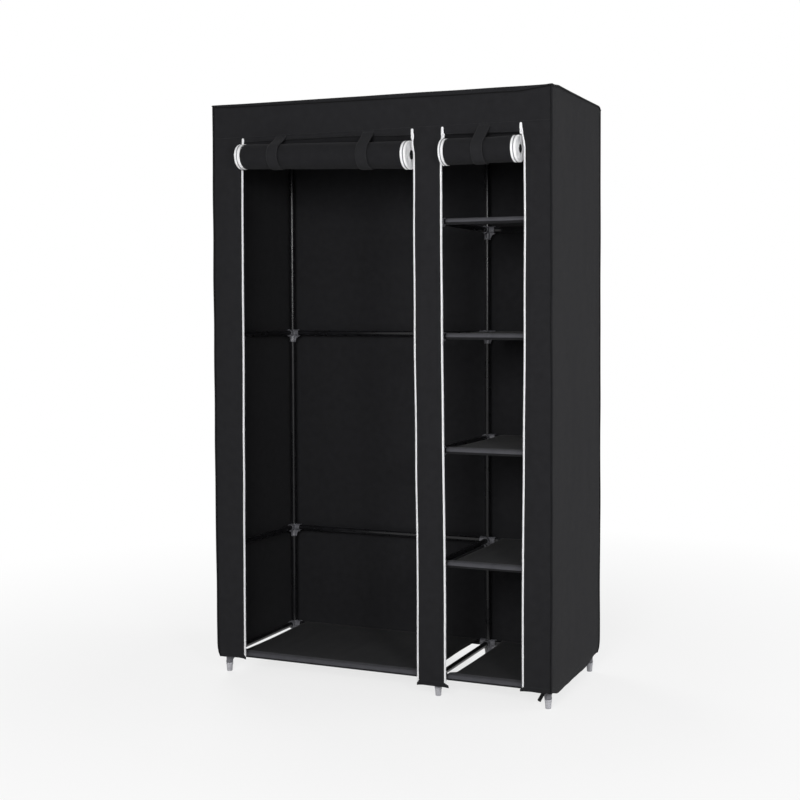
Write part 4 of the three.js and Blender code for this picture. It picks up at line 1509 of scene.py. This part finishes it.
        name = f"{self.name}_{strap_name}"
        half = self.strap_width / 2
        rows = [float(i) for i in range(len(path))]
        columns, finish = steps(-half, half, 2.4 * MM), self.shop.finishes.strap
        obj = cloth(f"{name}_ribbon", columns, rows, place, self.strap_thickness, finish)
        set_up(obj, Slot.STRAP, [name])
        self.joint
        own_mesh(obj)
        stitched = []
        out = 0.62 * MM
        for sign in (-1, 1):
            line = []
            for index, (y, z, on_header) in enumerate(path):
                x = middle + sign * (half - 2.6 * MM) + aslant(index)
                away = Vector((y - centre.y, z - centre.z)).normalized()
                if on_header:
                    line.append(Vector((x, y - on_header * self.form.proud(x, z) - out, z)))
                elif index < len(path) - 12:
                    line.append(Vector((x, y + away.x * out, z + away.y * out)))
            stitched.append(line)
        for z in (bottom + self.strap_seam - 2 * MM, leave + 1 * MM):
            xs = [middle + a for a in steps(-half + 3 * MM, half - 3 * MM, 4 * MM)]
            stitched.append([Vector((x, front_y - out - self.form.proud(x, z), z)) for x in xs])
        sewn = self.shop.stitches(f"{name}_stitches", stitched, 3.6 * MM)
        set_up(sewn, Slot.STRAP)
        self.joint
        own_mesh(sewn)


# The zips


@dataclass
class Zip:
    """One zip on the edge of an opening: tape, teeth, slider and pull tab."""

    name: str
    edge: float
    inward: int
    hem: float
    seed: int
    form: CoverForm
    shop: Workshop
    hidden: float = 9 * MM
    shown: float = 8 * MM
    tape: float = 0.8 * MM
    pin_forward: float = 5.3 * MM

    @property
    def middle_y(self) -> float:
        """The middle of the tape's thickness."""
        return self.form.front + self.form.cloth + 0.3 * MM + self.tape / 2

    @property
    def bead_x(self) -> float:
        """The middle of the teeth."""
        return self.edge + self.inward * (self.shown - 1.5 * MM)

    @property
    def slider_x(self) -> float:
        """The middle of the slider, which the roll pulls inwards."""
        return self.bead_x + self.inward * self.form.pulls[self.seed]

    def build(self) -> None:
        """Makes all the zip's pieces."""
        self._tape()
        self._slider()
        self._tab()

    def _tape(self) -> None:
        """The tape behind the cover's edge and the row of teeth along it."""
        top = self.form.header_bottom - 0.6 * MM
        columns = steps(-self.hidden, self.shown - 2.2 * MM, 2.0 * MM)

        def place(column: float, z: float) -> Placed:
            x = self.edge + self.inward * column + self.form.sway(z, self.seed)
            return Vector((x, self.middle_y, z)), (column, z)

        name = f"{self.name}_tape"
        obj = cloth(f"{name}_ribbon", columns, steps(self.hem, top, 9 * MM), place, self.tape, self.shop.finishes.tape)
        set_up(obj, Slot.TAPE, [name])
        heights = steps(self.hem + 1 * MM, top - 1 * MM, 9 * MM)
        path = [Vector((self.bead_x + self.form.sway(z, self.seed), self.middle_y, z)) for z in heights]
        name, across = f"{self.name}_teeth", (self.inward, 0, 0)
        teeth = self.shop.paths.along(name, [path], self.shop.tooth, 2.2 * MM, self.shop.finishes.zip, across)
        set_up(teeth, Slot.ZIP)

    def _slider(self) -> None:
        """The slider: two rounded plates, a post, side lips, and a bridge with the pin."""
        low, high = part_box(f"{self.name}_slider")
        middle = Vector((self.slider_x, self.middle_y, (low.z + high.z) / 2))
        parts = MeshParts()
        half = [(3.0, 7.0), (4.6, 5.8), (5.0, 3.8), (4.3, -2.5), (3.6, -6.4), (2.8, -7.0)]
        edge = [(-3.0, 7.0), *half, *((-x, z) for x, z in reversed(half[1:]))]
        for sign in (-1, 1):
            outline = [middle + Vector((x * MM, sign * 1.55 * MM, z * MM)) for x, z in edge]
            parts.plate(outline, Vector((0, sign * 1.15 * MM, 0)))
        for x, wide, y0, y1 in ((2.9, 1.1, -1.6, 1.6), (-3.2, 0.7, -1.6, -0.7), (-3.2, 0.7, 0.7, 1.6)):
            block = [
                middle + Vector(((self.inward * x + a * wide / 2) * MM, y0 * MM, z * MM))
                for a, z in ((-1, -4.5), (1, -4.5), (1, 4.5), (-1, 4.5))
            ]
            parts.plate(block, Vector((0, (y1 - y0) * MM, 0)))
        cheek = ((-2.2, -3.0), (-2.2, 3.0), (-4.4, 2.0), (-5.9, 1.4), (-6.5, 0.0), (-5.9, -1.4), (-4.4, -2.0))
        for sign in (-1, 1):
            outline = [middle + Vector((sign * 2.0 * MM, y * MM, z * MM)) for y, z in cheek]
            parts.plate(outline, Vector((sign * 1.15 * MM, 0, 0)))
        obj = rounded(add_object(f"{self.name}_slider_body", parts.mesh("slider"), self.shop.finishes.zip), 0.35 * MM)
        set_up(obj, Slot.ZIP, [f"{self.name}_slider"], f"{self.name}_slider")
        pin = MeshParts()
        profile = [(r * MM, h * MM) for r, h in ((0.5, -2.9), (0.8, -2.6), (0.8, 2.6), (0.5, 2.9))]
        pin.turned(profile, middle + Vector((0, -self.pin_forward, 0)), Vector((1, 0, 0)), 14)
        rod = add_object(f"{self.name}_slider_pin", pin.mesh("pin"), self.shop.finishes.zip)
        set_up(rod, Slot.ZIP, body=f"{self.name}_slider")

    def _tab(self) -> None:
        """The pull tab: an eye round the pin, a neck, and a tapered plate with a raised rim and a round tip."""
        low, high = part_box(f"{self.name}_slider")
        pin = Vector((self.slider_x, self.middle_y - self.pin_forward, (low.z + high.z) / 2))
        parts = MeshParts()
        outline = [(1.7, 0.0), (1.7, 3.2), (2.4, 4.6), (3.9, 6.8), (4.0, 9.0), (3.6, 20.6)]
        angles = [math.pi * i / 12 for i in range(1, 12)]
        tip = [(3.6 * math.cos(a), 20.6 + 3.6 * math.sin(a)) for a in angles]
        whole = [*outline, *tip, *((-x, z) for x, z in reversed(outline))]
        back = 1.9 * MM
        parts.plate([pin + Vector((x * MM, back, z * MM)) for x, z in whole], Vector((0, -1.5 * MM, 0)))
        eye = [(r * MM, h * MM) for r, h in ((2.2, -1.7), (2.2, 1.7), (1.1, 1.7), (1.1, -1.7))]
        parts.turned(eye, pin, Vector((1, 0, 0)), 16, around=True)
        inner = [(x * 0.66, 14.0 + (z - 14.0) * 0.60) for x, z in whole if z > 6]
        parts.plate([pin + Vector((x * MM, back - 1.3 * MM, z * MM)) for x, z in inner], Vector((0, -0.7 * MM, 0)))
        obj = rounded(add_object(f"{self.name}_tab", parts.mesh("tab"), self.shop.finishes.zip), 0.4 * MM)
        set_up(obj, Slot.ZIP, [f"{self.name}_pull_tab"], f"{self.name}_pull_tab")


# The frame


@dataclass
class Frame:
    """The tube frame: three ladders of columns and depth tubes, rails, connectors and feet."""

    form: CoverForm
    shop: Workshop
    radius: float = 8 * MM
    sleeve: float = 10.3 * MM
    mouth: float = 11.5 * MM
    reach: float = 26 * MM
    long_reach: float = 31 * MM
    short_reach: float = 10.5 * MM
    sides: int = 24
    column_foot: float = 27 * MM
    column_top: float = 1.7392
    bottom: float = 58 * MM
    pitch: float = 330 * MM
    top_level: int = 5
    nodes: list[str] = field(default_factory=list)
    patterns: dict[tuple[int, ...], Object] = field(default_factory=dict)

    @property
    def rows(self) -> Pair:
        """The Y of the front and back columns."""
        return self.form.front + self.form.row_inset, self.form.back - self.form.row_inset

    def level(self, number: int) -> float:
        """The height of a level."""
        return self.bottom + self.pitch * number

    def build(self) -> None:
        """Makes all the frame's pieces."""
        left, middle, right = self.form.columns
        wide_front, wide_back, all_levels = [0, 5], [0, 1, 3, 5], list(range(6))
        both = {(0, -1): wide_front, (1, -1): wide_back, (0, 1): all_levels, (1, 1): all_levels}
        self._ladder("left_end", left, wide_back, {(0, 1): wide_front, (1, 1): wide_back}, 1)
        self._ladder("middle", middle, all_levels, both, -1)
        self._ladder("right_end", right, all_levels, {(0, -1): all_levels, (1, -1): all_levels}, 0)
        self._rails()
        self._feet()

    def _tube(self, parts: MeshParts, start: Vector, end: Vector) -> None:
        """Adds a hollow tube with slightly rolled ends."""
        length = (end - start).length
        r, bore, lip = self.radius, self.radius - 0.7 * MM, 0.3 * MM
        profile = [(bore, 0.0), (r - lip, 0.0), (r, lip), (r, length - lip), (r - lip, length), (bore, length)]
        parts.turned(profile, start, (end - start).normalized(), self.sides, around=True)

    def _ladder(
        self, name: str, x: float, rungs: list[int], arms: dict[tuple[int, int], list[int]], hanger: int
    ) -> None:
        """One ladder.

        Args:
            name: Its name.
            x: Where it stands.
            rungs: The levels with a depth tube.
            arms: The levels that have an arm, for each row and direction.
            hanger: The direction of the hanging rail's socket, or 0.
        """
        tubes = MeshParts()
        for y in self.rows:
            self._tube(tubes, Vector((x, y, self.column_foot)), Vector((x, y, self.column_top)))
        for number in rungs:
            z = self.level(number)
            self._tube(tubes, Vector((x, self.rows[0] + 9 * MM, z)), Vector((x, self.rows[1] - 9 * MM, z)))
        obj = crease(add_object(f"{name}_tubes", tubes.mesh(name), self.shop.finishes.steel))
        set_up(obj, Slot.STEEL, [f"{name}_frame"])
        groups: dict[tuple[int, ...], list[Vector]] = {}
        for row, y in enumerate(self.rows):
            for number in rungs:
                sides = (int(number in arms.get((row, way), [])) for way in (-1, 1))
                key = (*sides, -1 if row else 1, -1 if number == self.top_level else 1)
                groups.setdefault(key, []).append(Vector((x, y, self.level(number))))
        # The connectors take the darker copy of the grey plastic: painted shade.
        made, repeat, finish = [], self.shop.at_points.run, self.shop.finishes.socket
        for index, (key, places) in enumerate(groups.items()):
            made.append(repeat(f"{name}_connectors_{index}", places, self._connector(key), finish))
        if hanger:
            made.append(self._tee(name, Vector((x, sum(self.rows) / 2, self.level(self.top_level))), hanger))
        whole = made[0]
        with bpy.context.temp_override(
            active_object=whole, object=whole, selected_objects=made, selected_editable_objects=made
        ):
            bpy.ops.object.join()
        whole.name = f"{name}_connectors"
        set_up(whole, Slot.PLASTIC)

    def _arm(self, parts: MeshParts, way: Vector) -> None:
        """Adds a flared arm with a recessed mouth."""
        s, m, r = self.sleeve, self.mouth, self.reach
        profile = [(s - 0.4 * MM, 0.0), (s - 0.2 * MM, 9 * MM), (s, 16 * MM), (s + 0.5 * MM, 21 * MM), (m, 24.2 * MM)]
        profile += [(m + 0.1 * MM, r), (m - 1.5 * MM, r + 0.1 * MM), (self.radius + 0.4 * MM, r - 3.2 * MM)]
        parts.turned(profile, Vector(), way, 28)

    def _connector(self, key: tuple[int, ...]) -> Object:
        """A connector about its own middle: a sleeve with a collar, arms with flared mouths, and hollow-edged webs.

        Args:
            key: Whether it has a left and a right arm, which way is back, and which way its long leg points down.

        Returns:
            The pattern, made once for each key.
        """
        if key in self.patterns:
            return self.patterns[key]
        left, right, back, down = key
        parts = MeshParts()
        s, low, high = self.sleeve, -self.long_reach, self.short_reach
        leg = [(s - 0.9 * MM, low), (s + 0.3 * MM, low + 0.8 * MM), (s + 0.5 * MM, low + 5.0 * MM)]
        leg += [(s - 0.2 * MM, low + 6.2 * MM), (s - 0.3 * MM, 0), (s - 0.2 * MM, high - 1.4 * MM)]
        leg.append((s - 1.0 * MM, high))
        parts.turned([(r, h * down) for r, h in leg], Vector(), UP, 32)
        up = UP * down
        for way in (Vector((0, back, 0)), Vector((-left, 0, 0)), Vector((right, 0, 0))):
            if not way.length:
                continue
            self._arm(parts, way)
            side = way.cross(up).normalized()
            tip, horn = self.reach - 0.8 * MM, self.mouth + 2.2 * MM
            outline = [way * 0.0, way * tip, way * tip - up * horn]
            for i in range(1, 9):
                t = i / 8
                a, b, c = Vector((tip, horn)), Vector((self.mouth, horn)), Vector((s + 1.1 * MM, self.long_reach))
                p = a * (1 - t) ** 2 + b * 2 * t * (1 - t) + c * t * t
                outline.append(way * p.x - up * p.y)
            outline.append(-up * self.long_reach)
            parts.plate([p - side * 1.4 * MM for p in outline], side * 2.8 * MM)
            crown = [way * 2 * MM, way * tip, way * tip + up * (self.mouth + 1.0 * MM)]
            crown += [way * (tip - 3 * MM) + up * (s + 0.6 * MM), way * 2 * MM + up * (s + 0.2 * MM)]
            parts.plate([p - side * 1.4 * MM for p in crown], side * 2.8 * MM)
        self.patterns[key] = self._moulded(f"connector_{len(self.patterns)}", parts)
        return self.patterns[key]

    def _moulded(self, name: str, parts: MeshParts) -> Object:
        """Joins crossing shapes into one moulding with softened inner corners."""
        obj = add_object(name, parts.mesh(name))
        remesh = obj.modifiers.new("one_body", "REMESH")
        remesh.mode = "VOXEL"
        remesh.voxel_size = 0.75 * MM
        soft = obj.modifiers.new("soft", "SMOOTH")
        soft.factor, soft.iterations = 0.5, 3
        fewer = obj.modifiers.new("fewer", "DECIMATE")
        fewer.ratio = 0.17
        settled(obj)
        self.shop.spare.append(obj)
        return obj

    def _tee(self, name: str, at: Vector, way: int) -> Object:
        """The clip on the top depth tube that takes the hanging rail."""
        parts = MeshParts()
        s = self.sleeve
        half = 20 * MM
        barrel = [(s - 0.8 * MM, -half), (s, -half + 1 * MM), (s, half - 1 * MM), (s - 0.8 * MM, half)]
        parts.turned(barrel, Vector(), Vector((0, 1, 0)), 32)
        self._arm(parts, Vector((way, 0, 0)))
        tee = self._moulded(f"{name}_tee_pattern", parts)
        # The tee takes the darker copy of the grey plastic: painted shade.
        return self.shop.at_points.run(f"{name}_tee", [at], tee, self.shop.finishes.socket)

    def _rails(self) -> None:
        """The rails of both bays and the hanging rail."""
        for node in sorted(n for n in self.nodes if "_rail" in n):
            low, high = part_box(node)
            y, z = (low.y + high.y) / 2, (low.z + high.z) / 2
            parts = MeshParts()
            self._tube(parts, Vector((low.x, y, z)), Vector((high.x, y, z)))
            obj = crease(add_object(f"{node}_tube", parts.mesh(node), self.shop.finishes.steel))
            set_up(obj, Slot.STEEL, [node])

    def _feet(self) -> None:
        """The tapered feet."""
        toe = [(6.4, 0.0), (7.6, 0.4), (8.2, 1.3), (8.5, 6.0), (9.4, 18.5), (9.7, 20.6)]
        collar = [(10.5, 21.4), (10.6, 26.0), (10.2, 26.7), (8.4, 26.9)]
        spigot = [(6.9, 27.4), (6.8, 44.0), (6.0, 44.7)]
        profile = [(r * MM, h * MM) for r, h in (*toe, *collar, *spigot)]
        for node in sorted(n for n in self.nodes if n.startswith("foot_")):
            low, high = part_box(node)
            parts = MeshParts()
            parts.turned(profile, Vector(((low.x + high.x) / 2, (low.y + high.y) / 2, 0)), UP, 40)
            obj = crease(add_object(f"{node}_cap", parts.mesh(node), self.shop.finishes.plastic), 40)
            set_up(obj, Slot.PLASTIC, [node])


# The shelves


@dataclass
class Shelf:
    """One cloth shelf: a panel with a sleeve round its front and its back rail."""

    node: str
    frame: Frame
    shop: Workshop
    thickness: float = 1.2 * MM
    radius: float = 8.7 * MM
    longer: float = 17 * MM

    def build(self) -> None:
        """Makes the shelf and its stitches."""
        low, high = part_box(self.node)
        front, back = self.frame.rows
        level = (low.z + high.z) / 2
        path = self._section(front, back)
        seed = level * 7 + low.x
        width = high.x - low.x
        distances = lengths(path)

        def place(x: float, row: float) -> Placed:
            y, z, slack = path[round(row)]
            share = (x - low.x) / width
            sag = slack * (4.2 * MM * math.sin(math.pi * share) ** 0.5 + 1.2 * MM * ripple(x * 7, y * 7, seed))
            pulls = slack * 0.5 * MM * ripple(x * 34, y * 5, seed + 4)
            drawn = slack * 4 * MM * (1 - 2 * share) * (1 if share in (0, 1) else abs(1 - 2 * share) ** 8)
            if not slack and y < 0:
                drawn -= self.longer * (1 - share)
            return Vector((x + drawn, y, level + z - sag - pulls)), (x, distances[round(row)])

        # Number 1, the lighter sleeve cloth, goes on the upper front of the front sleeve: a painted highlight where
        # light falls on it.
        def finish(x: float, row: float) -> int:
            (y, z, slack), (_, _, slack_after) = path[round(row - 0.5)], path[round(row + 0.5)]
            return 1 if y < 0 and z > -2.5 * MM and slack == 0 and slack_after == 0 else 0

        columns, rows = steps(low.x, high.x, 9 * MM), [float(i) for i in range(len(path))]
        cloths = self.shop.finishes.shelf, self.shop.finishes.sleeve
        obj = cloth(f"{self.node}_cloth", columns, rows, place, self.thickness, *cloths, finish=finish)
        set_up(obj, Slot.SHELF, [self.node])
        bay, level_name = self.node.split("_shelf_")
        rails = [n for n in self.frame.nodes if n.startswith(f"{bay}_") and n.endswith(f"rail_{level_name}")]
        top = level + self.radius + self.thickness / 2 + 0.1 * MM
        xs = steps(low.x + 3 * MM, high.x - 3 * MM, 10 * MM)
        lines = [[Vector((x, y, top)) for x in xs] for y in (front + 13 * MM, back - 13 * MM)]
        set_up(self.shop.stitches(f"{self.node}_stitches", lines), Slot.SHELF)

    def _section(self, front: float, back: float) -> list[Triple]:
        """The shelf's line from its lap behind the front sleeve to its lap before the back sleeve.

        Args:
            front: The front rail's Y.
            back: The back rail's Y.

        Returns:
            Y, height above the rail and slack of each step.
        """
        r = self.radius
        under = r - 1.5 * MM
        lap = [(17 * MM, under, 0.0), (13 * MM, under - 0.2 * MM, 0.0), (10.5 * MM, under - 1.8 * MM, 0.0)]
        line = [(front + in_from, height, slack) for in_from, height, slack in lap]
        line += [(front + r * math.cos(a), r * math.sin(a), 0.0) for a in steps(0.35, -1.5 * math.pi, 0.25)]
        line += [(front + 7 * MM, r, 0.0), (front + 13.5 * MM, r, 0.0)]
        for share in steps(0.03, 0.97, 0.02):
            slack = math.sin(math.pi * share) ** 0.55
            line.append((between(front + 13.5 * MM, back - 13.5 * MM, share), r, max(slack, 1e-3)))
        line += [(back - 13.5 * MM, r, 0.0), (back - 7 * MM, r, 0.0)]
        turns = steps(0.5 * math.pi, math.pi - 0.35 - 2 * math.pi, 0.25)
        line += [(back + r * math.cos(a), r * math.sin(a), 0.0) for a in turns]
        return [*line, *((back - in_from, height, slack) for in_from, height, slack in reversed(lap))]


# The studio


@dataclass(frozen=True)
class Studio:
    """The floor, the lights and the camera."""

    place: Triple = (1.6775, -3.4210, 1.1230)
    yaw: float = -0.3621
    pitch: float = -0.0281
    roll: float = -0.0013
    focal: float = 1235.64
    centre_shift: Pair = (120, -55)
    frame: float = 800

    def build(self) -> None:
        """Sets up the camera, floor, world and lamps."""
        self._camera()
        self._floor()
        self._world()
        self._lamp("key", (0.9, -3.9, 1.9), (0.1, 0.0, 0.95), 1.4, 86)
        self._lamp("glint", (2.8, -2.9, 1.7), (0.3, 0.0, 0.95), 0.6, 30)
        self._lamp("side", (4.0, 0.9, 1.7), (0.55, 0.05, 0.9), 1.8, 50)
        self._lamp("behind", (-3.2, 2.6, 2.6), (0.0, 0.1, 1.0), 2.0, 70)
        bpy.context.scene.view_settings.view_transform = "Standard"

    def _camera(self) -> None:
        """The camera at the photograph's place."""
        data = bpy.data.cameras.new("camera")
        data.sensor_fit = "HORIZONTAL"
        data.sensor_width = 36
        data.lens = self.focal / self.frame * data.sensor_width
        data.shift_x = -self.centre_shift[0] / self.frame
        data.shift_y = self.centre_shift[1] / self.frame
        data.clip_end = 60
        camera = in_scene("camera", data)
        level = Vector((math.sin(self.yaw), math.cos(self.yaw), 0))
        right = Vector((math.cos(self.yaw), -math.sin(self.yaw), 0))
        ahead = level * math.cos(self.pitch) + UP * math.sin(self.pitch)
        up = UP * math.cos(self.pitch) - level * math.sin(self.pitch)
        tilted = right * math.cos(self.roll) + up * math.sin(self.roll)
        top = up * math.cos(self.roll) - right * math.sin(self.roll)
        matrix = Matrix((tilted, top, -ahead)).transposed().to_4x4()
        matrix.translation = Vector(self.place)
        camera.matrix_world = matrix
        bpy.context.scene.camera = camera

    def _floor(self) -> None:
        """A pale flat floor that the camera and reflections see as nearly white, and wholly white far out."""
        mesh = bpy.data.meshes.new("floor")
        half = 14.0
        mesh.from_pydata([(-half, -half, 0), (half, -half, 0), (half, half, 0), (-half, half, 0)], [], [(0, 1, 2, 3)])
        board = Board("studio_floor", 0.9, Specular_IOR_Level=0.1)
        spot = board.place("Object")
        colour = board.blend(board.grain(spot, 0.8, 2), linear("f6f6f6"), linear("f9f9f9"))
        board.join(colour, board.shader.inputs["Base Color"])
        across, along, _ = board.parts(spot)
        squares = board.math("ADD", board.math("MULTIPLY", across, across), board.math("MULTIPLY", along, along))
        far = board.math("SQRT", squares)
        rays = board.node("ShaderNodeLightPath")
        seen = board.math("MAXIMUM", rays.outputs["Is Glossy Ray"], rays.outputs["Is Transmission Ray"])
        seen = board.math("MAXIMUM", seen, rays.outputs["Is Camera Ray"])
        white, mix = board.node("ShaderNodeEmission"), board.node("ShaderNodeMixShader")
        link(
            board.tree,
            (board.math("MULTIPLY", seen, board.spread(far, 0.9, 2.6, 0.76, 1.0)), mix.inputs[0]),
            (board.shader.outputs[0], mix.inputs[1]),
            (white.outputs[0], mix.inputs[2]),
            (mix.outputs[0], board.output.inputs[0]),
        )
        add_object("floor", mesh, board.material)

    def _world(self) -> None:
        """A white surround for the camera and for reflections, and an even light on the object."""
        world = bpy.data.worlds.new("studio")
        bpy.context.scene.world = world
        world.use_nodes = True
        tree = world.node_tree
        tree.nodes.clear()
        new = tree.nodes.new
        rays = new("ShaderNodeLightPath")
        seen, shown = new("ShaderNodeMath"), new("ShaderNodeMath")
        seen.operation = shown.operation = "MAXIMUM"
        even, white = new("ShaderNodeBackground"), new("ShaderNodeBackground")
        for light, strength in ((even, 0.2), (white, 1.0)):
            light.inputs["Color"].default_value = (1, 1, 1, 1)
            light.inputs["Strength"].default_value = strength
        mix, out = new("ShaderNodeMixShader"), new("ShaderNodeOutputWorld")
        link(
            tree,
            (rays.outputs["Is Camera Ray"], seen.inputs[0]),
            (rays.outputs["Is Transmission Ray"], seen.inputs[1]),
            (seen.outputs[0], shown.inputs[0]),
            (rays.outputs["Is Glossy Ray"], shown.inputs[1]),
            (shown.outputs[0], mix.inputs[0]),
            (even.outputs[0], mix.inputs[1]),
            (white.outputs[0], mix.inputs[2]),
            (mix.outputs[0], out.inputs[0]),
        )

    def _lamp(self, name: str, place: Triple, target: Triple, size: float, power: float) -> None:
        """A soft square lamp that faces a target."""
        data = bpy.data.lights.new(name, "AREA")
        data.energy = power
        data.size = size
        lamp = in_scene(name, data)
        lamp.location = place
        lamp.rotation_euler = (Vector(target) - Vector(place)).to_track_quat("-Z", "Y").to_euler()


def main() -> None:
    """Loads the frame and builds every piece on it."""
    logging.basicConfig(level=logging.INFO, format="%(name)s: %(message)s")
    nodes = list(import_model()["nodes"])
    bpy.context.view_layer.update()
    form = CoverForm()
    shop = Workshop(Finishes())
    Studio().build()
    Cover(form, shop).build()
    wide, narrow = form.openings
    wide_hang = RollEnd(0.020, 1.5875, 0.0387, 0.0080, 0.018), RollEnd(0.006, 1.5700, 0.0418, 0.0160, 0.017)
    narrow_hang = RollEnd(0.003, 1.5735, 0.0394, 0.0098, 0.015), RollEnd(0.005, 1.5730, 0.0386, 0.0118, 0.016)
    Door("wide", wide, {"strap_left": 0.222, "strap_right": 0.745}, wide_hang, form, shop).build()
    Door("narrow", narrow, {"strap": 0.54}, narrow_hang, form, shop, strap_skew=9 * MM).build()
    hems = (form.hems[0], form.hems[1], form.hems[1], form.hems[2])
    for seed, (edge, hem) in enumerate(zip((*wide, *narrow), hems)):
        end = End.RIGHT if seed % 2 else End.LEFT
        Zip(f"{'narrow' if seed > 1 else 'wide'}_zip_{end.word}", edge, -end.value, hem, seed, form, shop).build()
    tubes = Frame(form, shop, nodes=nodes)
    tubes.build()
    for node in sorted(n for n in nodes if "_shelf_" in n):
        Shelf(node, tubes, shop).build()
    shop.clear()
    bpy.context.view_layer.update()


if __name__ == "__main__":
    main()
